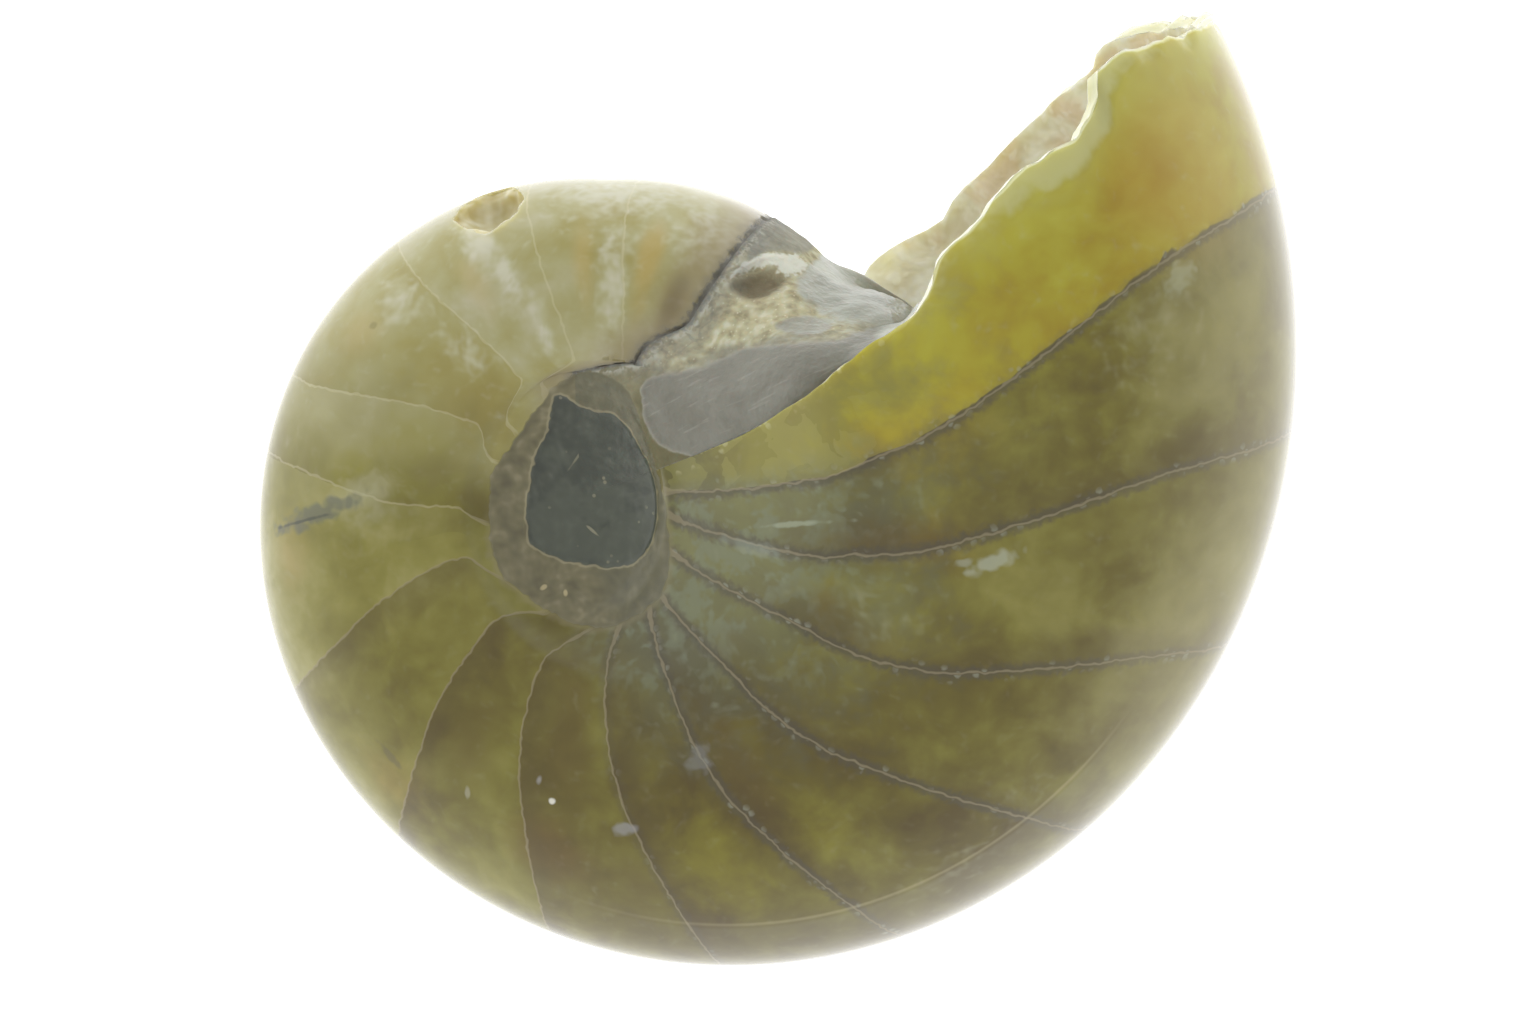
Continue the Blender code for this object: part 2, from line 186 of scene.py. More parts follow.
# Outlines in the shell's plane, in millimetres: the dark rock that fills a navel, the ring of crust round it,
# and what the callus beside the mouth is made of: a smooth film, the saddle where it meets the lip, a lens of
# clear stone, a pit with a white crust above it, and a grey wedge at its crest.
OUTLINES = {
    "rock": (
        (-5.1, 8.2), (-2.3, 6.9), (0.5, 6.4), (2.4, 4.4), (4.4, 1.0), (4.8, -3.0), (3.9, -6.0), (2.4, -7.6),
        (-0.1, -8.2), (-2.9, -7.9), (-5.4, -7.4), (-7.7, -6.1), (-8.2, -4.2), (-7.8, -0.6), (-7.3, 2.2),
        (-5.9, 5.3),
    ),
    "ring": (
        (-2.8, 10.6), (-7.0, 7.1), (-10.2, 2.6), (-11.6, -0.2), (-11.6, -4.7), (-10.6, -8.6), (-7.1, -11.7),
        (-2.8, -13.7), (0.9, -13.5), (4.2, -11.6), (5.8, -9.3), (6.0, -4.0), (5.2, 0.9), (3.4, 5.8),
        (1.6, 9.3),
    ),
    "film": (
        (4.0, 10.0), (3.6, 7.2), (4.1, 5.3), (5.7, 3.8), (7.8, 3.2), (12.0, 2.8), (20.0, 7.0), (27.0, 11.0),
        (29.0, 14.5), (25.6, 15.0), (23.2, 14.3), (18.5, 13.9), (13.9, 13.2), (9.4, 11.3),
    ),
    "saddle": (
        (18.0, 18.0), (21.5, 15.9), (25.2, 15.2), (33.0, 13.0), (36.0, 20.0), (25.0, 26.0), (18.5, 20.5),
    ),
    "lens": ((16.6, 15.5), (18.8, 16.1), (21.2, 15.8), (21.9, 15.1), (19.7, 14.6), (17.2, 15.0)),
    "pit": ((11.4, 18.6), (12.6, 19.8), (14.8, 20.2), (17.0, 19.3), (15.8, 18.0), (13.4, 17.4)),
    "crust": (
        (11.4, 19.4), (12.8, 20.8), (14.4, 21.4), (16.8, 21.0), (18.0, 19.8), (16.8, 19.5), (14.8, 20.4),
        (12.8, 19.9),
    ),
    "wedge": ((12.4, 24.6), (14.6, 24.2), (17.0, 22.4), (17.6, 20.9), (14.7, 21.5), (12.8, 20.9)),
}
SHOWN_FIELDS = (
    "chamber", "suture_even", "suture_odd", "even_share", "angle", "height", "lip", "lift", "flake", "crack",
    "notch", *OUTLINES, *STAINS,
)

# Scars of flakes knocked off the near wall at its lip: (height, radius in millimetres, depth in millimetres).
FLAKES = (
    (0.535, 1.6, 0.15), (0.572, 2.4, 0.25), (0.61, 2.0, 0.25), (0.645, 3.0, 0.5), (0.69, 3.6, 0.9),
    (0.725, 2.8, 0.8), (0.755, 3.2, 0.9), (0.79, 2.2, 0.6), (0.83, 1.8, 0.4), (0.90, 1.6, 0.3),
)
# The notch in the venter is a flattened ball's: its whorl angle, its middle out from the venter and towards
# the near side, its radius, and how much narrower it is along the whorl.
NOTCH_ANGLE, NOTCH_OUT, NOTCH_LIFT, NOTCH_RADIUS, NOTCH_NARROW = 116.5, 0.0005, 0.0064, 0.0052, 0.66

# Relief in millimetres. A navel's rock lies sunk, with lumps, inside a bead of crust.
ROCK_SUNK, ROCK_LUMPS, ROCK_BEAD, BEAD_WIDTH = 0.22, 0.05, 0.10, 0.18
# The hollow has coarse and fine lumps. The callus swells, with a grain that is finer on its smooth parts.
HOLLOW_COARSE, HOLLOW_FINE = 0.30, 0.16
CALLUS_SWELL, CRUST_GRAIN, SMOOTH_GRAIN = 0.12, 0.14, 0.03
# What stands or lies off the callus: (outline, rise, and from and to how far inside the outline it comes).
CALLUS_FORMS = (
    ("crust", 0.30, -0.2, 0.6), ("pit", -1.1, -0.2, 1.3), ("wedge", -0.25, -0.2, 0.5),
    ("lens", -0.12, 0.0, 0.4),
)
# The crack at the whorl's beginning wanders. The callus turns through about 60 degrees before it. The far
# wall's lip is worn round.
CRACK_DEPTH, CRACK_WIDTH, CRACK_WANDER = 0.40, 0.30, 0.35
CALLUS_TURN = 60.0
LIP_WEAR, LIP_WEAR_REACH = 0.5, 1.5
# The near lip's length from the navel to the venter.
LIP_LENGTH = 75.0

# What calcite does to light: its lower refractive index, and how far red, green and blue light run in it.
CALCITE_IOR, CALCITE_SCATTER = 1.49, (1.0, 0.85, 0.45)
# The lift, in millimetres, of a faint pale arc on the near flank: painted reflection, the edge of the bright
# table's reflection, with a greyer band of that painted reflection below it.
REFLECTION_EDGE_LIFT = 13.5

# The stage: the light table's glow, the tent's glow at the horizon and overhead, and the camera.
TABLE_GLOW, HORIZON_GLOW, OVERHEAD_GLOW = 1.45, 1.62, 0.82
CAMERA_PLACE, CAMERA_LENS, CAMERA_SENSOR = (-0.0007, -0.0021, 0.826), 194.5, 36.0


def ease(start, end, value):
    """0 at start, 1 at end, smooth between."""
    share = np.clip((value - start) / (end - start), 0.0, 1.0)
    return share * share * (3.0 - 2.0 * share)


def table(pairs, value):
    """Straight-line reading of a table of (place, value) pairs."""
    return np.interp(value, [pair[0] for pair in pairs], [pair[1] for pair in pairs])


def curve(pairs, value):
    """Smooth reading of a table of (place, value) pairs, with no overshoot."""
    place, level = np.array(pairs, float).T
    chord = np.diff(level) / np.diff(place)
    slope = np.concatenate([chord[:1], (chord[1:] + chord[:-1]) / 2.0, chord[-1:]])
    limit = 2.0 * np.minimum(np.abs(np.append(chord, chord[-1])), np.abs(np.insert(chord, 0, chord[0])))
    turning = np.concatenate([[False], chord[1:] * chord[:-1] <= 0.0, [False]])
    slope = np.where(turning, 0.0, np.clip(slope, -limit, limit))
    value = np.clip(value, place[0], place[-1])
    left = np.clip(np.searchsorted(place, value, side="right") - 1, 0, len(place) - 2)
    width = place[left + 1] - place[left]
    share = (value - place[left]) / width
    start = level[left] * (1.0 + 2.0 * share) + width * slope[left] * share
    end = level[left + 1] * (3.0 - 2.0 * share) - width * slope[left + 1] * (1.0 - share)
    return start * (1.0 - share) ** 2 + end * share**2


def mix(first, second, share):
    """first where share is 0, second where it is 1."""
    return first + (second - first) * share


def venter_radius(angle, shape):
    """Distance of the outer edge from the axis: a spiral, swollen where the callus covers its beginning."""
    spiral = shape.spiral_radius * np.exp(shape.spiral_growth * np.radians(angle))
    return spiral * (1.0 + curve(CREST_SWELL, angle))


def rim_radius(angle):
    """Distance of a navel's rim from its middle."""
    turned = np.radians(angle)
    return 1.0 / np.hypot(np.cos(turned) / NAVEL_HALF_WIDTH, np.sin(turned) / NAVEL_HALF_HEIGHT)


def climb(share):
    """From 0 to 1: a straight slope with a soft foot and a softer head."""
    share = np.clip(share, 0.0, 1.0)
    foot = np.minimum(share, SLOPE_FOOT) ** 2 / (2.0 * SLOPE_FOOT) + (share - SLOPE_FOOT).clip(0.0)
    head = (share - 1.0 + SLOPE_HEAD).clip(0.0) ** 2 / (2.0 * SLOPE_HEAD)
    return (foot - head) / (1.0 - SLOPE_FOOT / 2.0 - SLOPE_HEAD / 2.0)


def row_height(row):
    """Height of a row: 0 at either navel's middle, 1 at the venter."""
    return 1.0 - np.abs(2.0 * row - 1.0)


def surface(angle, row, shape, inset=0.0):
    """A place on the whorl as (angle, distance, lift, share of the navel's offset), which mix smoothly."""
    height = row_height(row)
    in_navel = np.clip(height / RIM_ROW, 0.0, 1.0)
    on_slope = np.clip((height - RIM_ROW) / (CROWN_ROW - RIM_ROW), 0.0, 1.0)
    climbed = climb(on_slope)
    on_flank = np.clip((height - CROWN_ROW) / (1.0 - CROWN_ROW), 0.0, 1.0) * math.pi / 2
    venter = venter_radius(angle, shape)
    crown = (RIM_HEIGHT**CROWN_BLEND + (CROWN_HEIGHT_SHARE * venter) ** CROWN_BLEND) ** (1.0 / CROWN_BLEND)
    out = mix(in_navel * rim_radius(angle), CROWN_SHARE * venter, on_slope)
    out = out + np.sin(on_flank) ** (2.0 / SECTION_POWER) * ((1.0 - CROWN_SHARE) * venter - inset)
    navel_floor = RIM_HEIGHT - NAVEL_DEPTH * (1.0 - ease(0.80, 1.0, in_navel))
    navel_floor = navel_floor + RIM_RISE * (crown - RIM_HEIGHT) * in_navel**2
    lift = mix(navel_floor, crown - inset, climbed)
    lift = lift * np.cos(on_flank).clip(0.0) ** (2.0 / SECTION_POWER)
    off_axis = 1.0 - ease(RIM_ROW, CROWN_ROW, height)
    # Adding nothing times the distance gives a single angle as many entries as the rest.
    return np.stack([angle + 0.0 * out, out, np.where(row <= 0.5, lift, -lift), off_axis], axis=-1)


def a_turn_on(place):
    """The same place, counted a whole turn further along the whorl."""
    return place + np.array([360.0, 0.0, 0.0, 0.0])


def to_point(place):
    """A place on the whorl as a point in the shell's frame."""
    angle = np.radians(place[..., 0])
    return np.stack([
        NAVEL_MIDDLE[0] * place[..., 3] + place[..., 1] * np.cos(angle),
        NAVEL_MIDDLE[1] * place[..., 3] + place[..., 1] * np.sin(angle),
        place[..., 2],
    ], axis=-1)


def lip_angle(row):
    """Whorl angle of the broken lip, with fine jags where it stands free."""
    height = row_height(row)
    jagged = sum(size * np.sin(height * pace + start) for size, pace, start in LIP_JAGS)
    jagged = jagged * ease(0.3, 0.5, height) * (1.0 - ease(0.9, 1.0, height))
    return jagged + np.where(row <= 0.5, curve(NEAR_LIP, height), curve(FAR_LIP, height))


def on_callus(line):
    """1 where the lip lies on the callus, 0 where it stands free over the hollow."""
    return 1.0 - ease(*CALLUS_LEAVES, line) * (1.0 - ease(*CALLUS_RETURNS, line))


def in_hollow(line):
    """1 on the lines that run through the hollow, 0 on those that stay outside it."""
    return ease(*HOLLOW_OPENS, line) * (1.0 - ease(*HOLLOW_CLOSES, line))


def whorl_place(path, line):
    """Whorl angle and row of a point of the whorl's outside."""
    end, start = curve(LINE_ENDS, line), curve(LINE_BEGINS, line)
    along = np.clip(path / WHORL_END, 0.0, 1.0)
    row = mix(start, end, ease(0.0, 1.0, along))
    return mix(curve(BEGINNING, row_height(start)), lip_angle(end), along), row


def callus_place(path, line):
    """How far a point has turned from the lip to the bare beginning, on a line that stays on the callus."""
    inner = np.clip((path - LIP_END) / (HOLLOW_END - LIP_END), 0.0, 1.0)
    back = np.clip((path - HOLLOW_END) / (1.0 - HOLLOW_END), 0.0, 1.0)
    gone = on_callus(line) * (HOLLOW_END - LIP_END) / (1.0 - LIP_END)
    return inner, back, mix(gone * inner, 1.0, back)


def inside_place(path, line, shape):
    """From the lip into the hollow, or over the callus, and on to the bare beginning of the whorl."""
    end, start = curve(LINE_ENDS, line), curve(LINE_BEGINS, line)
    lip = lip_angle(end)
    bare = curve(BEGINNING, row_height(start)) + 360.0
    over_lip = np.clip((path - WHORL_END) / (LIP_END - WHORL_END), 0.0, 1.0)
    inner, back, turned = callus_place(path, line)

    fallen = curve(LIP_DROP, line) * mix(inner, 1.0, on_callus(line)) * over_lip
    foot = a_turn_on(surface(lip - 360.0, start, shape))
    inset = surface(lip, end, shape, shape.lip_thickness * over_lip * (1.0 - on_callus(line)))
    raised = (inset - foot) * ((1.0 - fallen) * (1.0 - ease(0.0, 1.0, turned)))[..., None]
    over_callus = a_turn_on(surface(mix(lip, bare, turned) - 360.0, start, shape)) + raised

    down = np.clip(2.0 * inner, 0.0, 1.0)
    edge_angle = curve(SEPTUM_EDGE, row_height(end))
    thickness = mix(shape.lip_thickness, WALL_THICKNESS, ease(0.0, 0.6, down))
    wall = surface(mix(lip, edge_angle, down), end, shape, thickness)
    across = np.clip(2.0 * inner - 1.0, 0.0, 1.0)
    bowl = mix(surface(edge_angle, end, shape, WALL_THICKNESS),
               a_turn_on(surface(SEPTUM_FOOT - 360.0, start, shape)), across[..., None])
    bowl[..., 0] -= np.degrees(shape.septum_depth * np.sin(across * math.pi) / bowl[..., 1].clip(0.01))
    along = a_turn_on(surface(mix(SEPTUM_FOOT, bare, back) - 360.0, start, shape))
    chamber = np.where((inner <= 0.5)[..., None], wall, np.where((back > 0.0)[..., None], along, bowl))
    chamber = np.where((inner <= 0.0)[..., None], over_callus, chamber)
    return mix(over_callus, chamber, in_hollow(line)[..., None])


def shell_points(path, line, shape):
    """Points of the smooth shell."""
    angle, row = whorl_place(path, line)
    outside = surface(angle, row, shape)
    return to_point(np.where((path > WHORL_END)[..., None], inside_place(path, line, shape), outside))


def resting_rotation(shape):
    """Turns the shell's frame so that the fossil lies on its lower flank."""
    tip = Vector((math.sin(shape.lean) * math.cos(shape.lean_direction),
                  math.sin(shape.lean) * math.sin(shape.lean_direction), math.cos(shape.lean)))
    return tip.rotation_difference(Vector((0.0, 0.0, 1.0))).to_matrix()


def read_points(mesh):
    flat = np.zeros(len(mesh.vertices) * 3)
    mesh.vertices.foreach_get("co", flat)
    return flat.reshape(-1, 3)


def write_points(mesh, points):
    mesh.vertices.foreach_set("co", np.ascontiguousarray(points, dtype=np.float32).ravel())
    mesh.update()


def read_float(mesh, name):
    values = np.zeros(len(mesh.vertices), np.float32)
    mesh.attributes[name].data.foreach_get("value", values)
    return values.astype(float)


def write_float(mesh, name, values):
    attribute = mesh.attributes.get(name) or mesh.attributes.new(name, "FLOAT", "POINT")
    attribute.data.foreach_set("value", np.ascontiguousarray(values, dtype=np.float32))


def select_only(thing):
    bpy.ops.object.select_all(action="DESELECT")
    thing.select_set(True)
    bpy.context.view_layer.objects.active = thing


def select_faces(mesh, chosen):
    """Selects the faces for which chosen is true, and nothing else."""
    mesh.vertices.foreach_set("select", np.zeros(len(mesh.vertices), bool))
    mesh.edges.foreach_set("select", np.zeros(len(mesh.edges), bool))
    mesh.polygons.foreach_set("select", chosen)


def face_means(mesh, values):
    """Mean of a vertex value over each face."""
    corner_vertex = np.zeros(len(mesh.loops), int)
    mesh.loops.foreach_get("vertex_index", corner_vertex)
    starts = np.zeros(len(mesh.polygons), int)
    totals = np.zeros(len(mesh.polygons), int)
    mesh.polygons.foreach_get("loop_start", starts)
    mesh.polygons.foreach_get("loop_total", totals)
    return np.add.reduceat(values[corner_vertex], starts) / totals


def crosses_seam(mesh, path):
    """Which faces join the path's two ends, so that their mean path means nothing."""
    return face_means(mesh, path**2) - face_means(mesh, path) ** 2 > 0.01


def outline_distance(outline, places):
    """Distance of places in millimetres inside a smooth closed outline, negative outside."""
    corners = np.array(outline, float)
    before, after, beyond = (np.roll(corners, shift, axis=0) for shift in (1, -1, -2))
    share = np.linspace(0.0, 1.0, 6, endpoint=False)[:, None, None]
    bowed = 0.5 * (2.0 * corners + (after - before) * share
                   + (2.0 * before - 5.0 * corners + 4.0 * after - beyond) * share**2
                   + (3.0 * corners - before - 3.0 * after + beyond) * share**3)
    ring = np.swapaxes(bowed, 0, 1).reshape(-1, 2)
    nearest = np.full(len(places), 1e9)
    inside = np.zeros(len(places), bool)
    for start, end in zip(ring, np.roll(ring, -1, axis=0)):
        side, offset = end - start, places - start
        share = np.clip(offset @ side / (side @ side), 0.0, 1.0)
        nearest = np.minimum(nearest, np.hypot(*(offset - share[:, None] * side).T))
        crosses = (places[:, 1] < start[1]) != (places[:, 1] < end[1])
        across = start[0] + (places[:, 1] - start[1]) / (side[1] if side[1] else 1e-9) * side[0]
        inside ^= crosses & (places[:, 0] < across)
    return np.where(inside, nearest, -nearest)


def stain(spots, angle, height):
    """Strength of a soft stain at each place."""
    level = np.zeros(len(angle))
    for spot_angle, spot_height, reach_angle, reach_height, strength in spots:
        reach = np.hypot((angle - spot_angle) / reach_angle, (height - spot_height) / reach_height)
        level = np.maximum(level, strength * np.exp(-(reach**2) / 1.4))
    return level


def lumps(points, size, seed, chosen):
    """Smooth noise from -1 to 1 with lumps of a size, at the chosen points."""
    level = np.zeros(len(points))
    offset = Vector((seed * 7.3, seed * 3.1, seed * 5.7))
    level[chosen] = [noise.noise(Vector(point) / size + offset) for point in points[chosen]]
    return level


def suture_angles(height):
    """Whorl angle of every suture at each height."""
    return np.stack([
        crown + to_venter * curve(VENTER_RUN, height + sooner) + to_navel * curve(NAVEL_RUN, height)
        for crown, to_venter, to_navel, sooner in SUTURES
    ])


def chamber_fields(angle, height, out):
    """Which chamber a place is in, and its distance in millimetres to the nearest even and odd suture."""
    angles = suture_angles(height)
    # Before the first suture and past the last one, the chamber's number runs on by less than 1.
    rest = np.array([12.0 * (angles[0] - angle) / angles[0], (angle - angles[-1]) / 60.0]).clip(0.0, 0.9)
    between = (angle - angles[:-1]) / (angles[1:] - angles[:-1])
    chamber = 1.0 + between.clip(0.0, 1.0).sum(axis=0) - rest[0] + rest[1]
    step = 0.01
    lean = (suture_angles(height + step) - suture_angles(height - step)) / (2.0 * step)
    apart = np.radians(angle - angles) * out / MM / np.hypot(1.0, np.radians(lean) * out / FLANK_LENGTH)
    nearest = []
    for parity in (0, 1):
        some = apart[parity::2]
        nearest.append(np.take_along_axis(some, np.abs(some).argmin(axis=0)[None], axis=0)[0])
    return chamber, nearest[0], nearest[1]


def shell_fields(path, line, points):
    """What the relief and the finish need to know of each point, by name."""
    angle, row = whorl_place(path, line)
    height = row_height(row)
    outside = path <= WHORL_END
    out = np.hypot(points[:, 0], points[:, 1])
    flat = points[:, :2] / MM
    to_lip = np.radians(lip_angle(row) - angle) * out / MM
    fields = {
        "angle": angle, "row": row, "height": height, "outside": outside * 1.0,
        "lip": np.where(outside, to_lip, 0.0), "lip_height": row_height(curve(LINE_ENDS, line)),
        "hollow": np.where(outside, 0.0, 1.0 - on_callus(line)),
    }
    fields.update({name: outline_distance(outline, flat) for name, outline in OUTLINES.items()})
    fields.update({name: stain(spots, angle, height) for name, spots in STAINS.items()})
    fields["lift"] = points[:, 2] / MM
    turned = callus_place(path, line)[2]
    bare = curve(BEGINNING, row_height(curve(LINE_BEGINS, line)))
    behind = np.where(path < LIP_END + 1e-6, angle - bare, (turned - 1.0) * CALLUS_TURN)
    fields["crack"] = np.radians(behind) * out / MM
    fields["chamber"], fields["suture_even"], fields["suture_odd"] = chamber_fields(angle, height, out)
    return fields


def relief(points, fields):
    """How far the broken, weathered and filled places stand off the smooth shell, in millimetres."""
    outside, lip = fields["outside"], fields["lip"]
    raised = np.zeros(len(points))

    rock = fields["rock"]
    stone = rock > -0.5
    raised -= ROCK_SUNK * ease(-0.1, 0.25, rock)
    raised += ROCK_LUMPS * lumps(points, 0.0012, 1, stone) * ease(0.0, 0.5, rock)
    raised += ROCK_BEAD * np.exp(-((rock + 0.15) / BEAD_WIDTH) ** 2)

    shard = np.zeros(len(points))
    for height, radius, depth in FLAKES:
        along = (fields["lip_height"] - height) * LIP_LENGTH
        reach = np.hypot(along, lip) / radius
        shard = np.maximum(shard, depth * (1.0 - reach**2).clip(0.0) ** 0.8)
    fields["flake"] = shard * outside * (fields["row"] < 0.5)
    raised -= fields["flake"]
    far_side = (fields["row"] > 0.5) & (fields["row"] < 0.8)
    raised -= outside * far_side * LIP_WEAR * (1.0 - lip / LIP_WEAR_REACH).clip(0.0) ** 2

    hollow = fields["hollow"]
    inner = hollow > 0.02
    rough = HOLLOW_COARSE * lumps(points, 0.0035, 2, inner) + HOLLOW_FINE * lumps(points, 0.0013, 3, inner)
    raised += hollow * rough

    callus = (1.0 - outside) * (1.0 - hollow) * ease(0.2, -0.6, fields["ring"])
    bare = callus > 0.02
    grain = lumps(points, 0.0011, 4, bare) + 0.6 * lumps(points, 0.0005, 5, bare)
    smooth = np.maximum(ease(-0.3, 0.6, fields["film"]), ease(-0.3, 0.6, fields["saddle"]))
    raised += callus * grain * mix(CRUST_GRAIN, SMOOTH_GRAIN, smooth)
    raised += callus * CALLUS_SWELL * lumps(points, 0.004, 6, bare)
    for name, rise, start, end in CALLUS_FORMS:
        raised += callus * rise * ease(start, end, fields[name])

    crack = fields["crack"] + CRACK_WANDER * lumps(points, 0.0018, 7, np.abs(fields["crack"]) < 3.0)
    reach = ease(0.30, 0.42, fields["height"]) * (fields["height"] < 0.985)
    uneven = 0.6 + 0.4 * np.sin(fields["height"] * 90.0)
    raised -= CRACK_DEPTH * np.exp(-((crack - 0.1) / CRACK_WIDTH) ** 2) * reach * uneven
    return raised * MM


def carve_notch(points, shape):
    """Sinks a rough, flattened ball into the venter."""
    radius = float(venter_radius(np.array(NOTCH_ANGLE), shape)) + NOTCH_OUT
    angle = math.radians(NOTCH_ANGLE)
    middle = np.array([radius * math.cos(angle), radius * math.sin(angle), NOTCH_LIFT])
    offset = points - middle
    whorlwards = np.array([-math.sin(angle), math.cos(angle), 0.0])
    stretched = offset + (offset @ whorlwards * (1.0 / NOTCH_NARROW - 1.0))[:, None] * whorlwards
    reach = np.linalg.norm(stretched, axis=1)
    near = reach < 1.5 * NOTCH_RADIUS
    rough = 0.16 * lumps(points, 0.0022, 8, near) + 0.07 * lumps(points, 0.0009, 9, near)
    size = NOTCH_RADIUS * (1.0 + rough)
    inside = reach < size
    sunk = middle + offset / reach.clip(1e-9)[:, None] * size[:, None]
    return np.where(inside[:, None], sunk, points), (size - reach) / MM


def spread_grid(mesh, shape):
    """Gives each point of the ball its path and line."""
    unit = read_points(mesh)
    turn = np.degrees(np.arctan2(unit[:, 1], unit[:, 0])) % 360.0 / 360.0
    turn = np.round(turn * shape.steps) % shape.steps / shape.steps + SEAM
    polar = np.degrees(np.arccos(unit[:, 2].clip(-1.0, 1.0))) / 180.0
    whole = np.floor(turn)
    write_float(mesh, "path", whole + table(PATH_SPREAD, turn - whole))
    write_float(mesh, "line", table(LINE_SPREAD, np.round(polar * shape.lines) / shape.lines))


def refine(shell, path_range, line_range):
    """Halves the faces within a stretch of path and line."""
    mesh = shell.data
    path, line = (read_float(mesh, name) for name in ("path", "line"))
    chosen = ~crosses_seam(mesh, path)
    for value, (low, high) in ((path, path_range), (line, line_range)):
        mean = face_means(mesh, value)
        chosen &= (mean > low) & (mean < high)
    select_only(shell)
    select_faces(mesh, chosen)
    bpy.ops.object.mode_set(mode="EDIT")
    bpy.ops.mesh.subdivide(number_cuts=1)
    bpy.ops.object.mode_set(mode="OBJECT")


def shape_shell(mesh, shape):
    """Moves the ball's points to the shell's surface, with its breaks and its relief."""
    path, line = read_float(mesh, "path") % 1.0, read_float(mesh, "line")
    points = shell_points(path, line, shape)
    write_points(mesh, points)
    normals = np.zeros(len(points) * 3)
    mesh.vertex_normals.foreach_get("vector", normals)
    fields = shell_fields(path, line, points)
    points = points + normals.reshape(-1, 3) * relief(points, fields)[:, None]
    points, fields["notch"] = carve_notch(points, shape)
    write_points(mesh, points)
    return fields


def write_fields(mesh, fields):
    even, odd = np.abs(fields["suture_even"]), np.abs(fields["suture_odd"])
    fields["even_share"] = odd / (odd + even).clip(1e-6)
    for name in SHOWN_FIELDS:
        write_float(mesh, name, fields[name])


def lay_down(mesh, shape):
    """Leans the shell over on to its flank, in the solid's place. Returns the marks' middles there."""
    leaned = np.array(resting_rotation(shape)).T
    points = read_points(mesh) @ leaned
    low, high = points.min(axis=0), points.max(axis=0)
    cad_low, cad_high = (np.array(corner) for corner in CAD_BOX)
    place = (cad_low + cad_high) / 2 - (low + high) / 2
    place[2] = cad_high[2] - high[2]
    write_points(mesh, points + place)
    angles, heights = np.array([mark[:2] for mark in MARKS], float).T
    return to_point(surface(angles, heights / 2.0, shape)) @ leaned + place


def grind_flat(shell):
    """Grinds the underside level with the ground."""
    select_only(shell)
    bpy.ops.object.mode_set(mode="EDIT")
    bpy.ops.mesh.select_all(action="SELECT")
    bpy.ops.mesh.bisect(
        plane_co=(0.0, 0.0, 0.0), plane_no=(0.0, 0.0, 1.0), use_fill=True, clear_inner=True, threshold=1e-7)
    bpy.ops.object.mode_set(mode="OBJECT")


def linear(code):
    """Linear colour of an sRGB hex value."""
    shares = [int(code[place:place + 2], 16) / 255.0 for place in (1, 3, 5)]
    bent = [share / 12.92 if share <= 0.04045 else ((share + 0.055) / 1.055) ** 2.4 for share in shares]
    return (*bent, 1.0)


def fill(tree, node, inputs):
    """Links or sets a node's inputs."""
    for place, value in inputs.items():
        if isinstance(value, bpy.types.NodeSocket):
            tree.links.new(value, node.inputs[place])
        else:
            node.inputs[place].default_value = linear(value) if isinstance(value, str) else value


def add(tree, kind, inputs=None, out=0, stops=None, **settings):
    """Adds a node with its settings, its ramp's stops and its inputs. Returns one of its outputs."""
    made = tree.nodes.new("ShaderNode" + kind)
    for name, value in settings.items():
        setattr(made.color_ramp if stops else made, name, value)
    if stops:
        for _ in stops[2:]:
            made.color_ramp.elements.new(1.0)
        for element, (place, code) in zip(made.color_ramp.elements, stops):
            element.position, element.color = place, linear(code)
    fill(tree, made, inputs or {})
    return made.outputs[out]


def start_finish(name, sizes):
    """A new material, its tree, its place, and what it sees: fields by name, and noises by size in mm."""
    material = bpy.data.materials.new(name)
    material.use_nodes = True
    tree = material.node_tree
    place = add(tree, "TexCoord", out=3)
    swirl = add(tree, "TexNoise", {"Vector": place, "Scale": 150.0, "Detail": 1.0}, out=1)
    shift = add(tree, "VectorMath", {0: swirl, 1: (0.0028,) * 3, 2: (-0.0014,) * 3}, operation="MULTIPLY_ADD")
    bent = add(tree, "VectorMath", {0: place, 1: shift}, operation="ADD")
    seen = {field: add(tree, "Attribute", out=2, attribute_name=field) for field in SHOWN_FIELDS}
    for size in sizes:
        detail = 3.0 if size > 2.0 else 1.0
        seen[size] = add(tree, "TexNoise", {
            "Vector": bent, "Scale": 1.0 / (size * MM), "Roughness": 0.6, "Detail": detail})
    return material, tree, place, seen


def shares_of(tree, seen, rows):
    """Shares by name, each from (what it reads, start, end): 0 at start, 1 at end.

    With two more, a noise's size and a reach, the noise makes that border wander by the reach.
    """
    shares = {}
    for name, (value, start, end, *wander) in rows.items():
        value, reach = seen[value], 0.0
        if wander:
            size, reach = wander
            value = add(tree, "Math", {0: seen[size], 1: reach, 2: value}, operation="MULTIPLY_ADD")
        limits = {0: value, 1: start + reach * 0.5, 2: end + reach * 0.5}
        shares[name] = add(tree, "MapRange", limits, interpolation_type="SMOOTHSTEP")
    return shares


def layered(tree, value, shares, layers, kind="RGBA"):
    """A colour or number with layers over it, each (colour or number, the shares whose product it covers)."""
    first, second, out = (6, 7, 2) if kind == "RGBA" else (2, 3, 0)
    for over, *parts in layers:
        share, *others = (shares[part] if isinstance(part, str) else part for part in parts)
        for other in others:
            share = add(tree, "Math", {0: share, 1: other}, operation="MULTIPLY")
        value = add(tree, "Mix", {0: share, first: value, second: over}, out=out, data_type=kind)
    return value


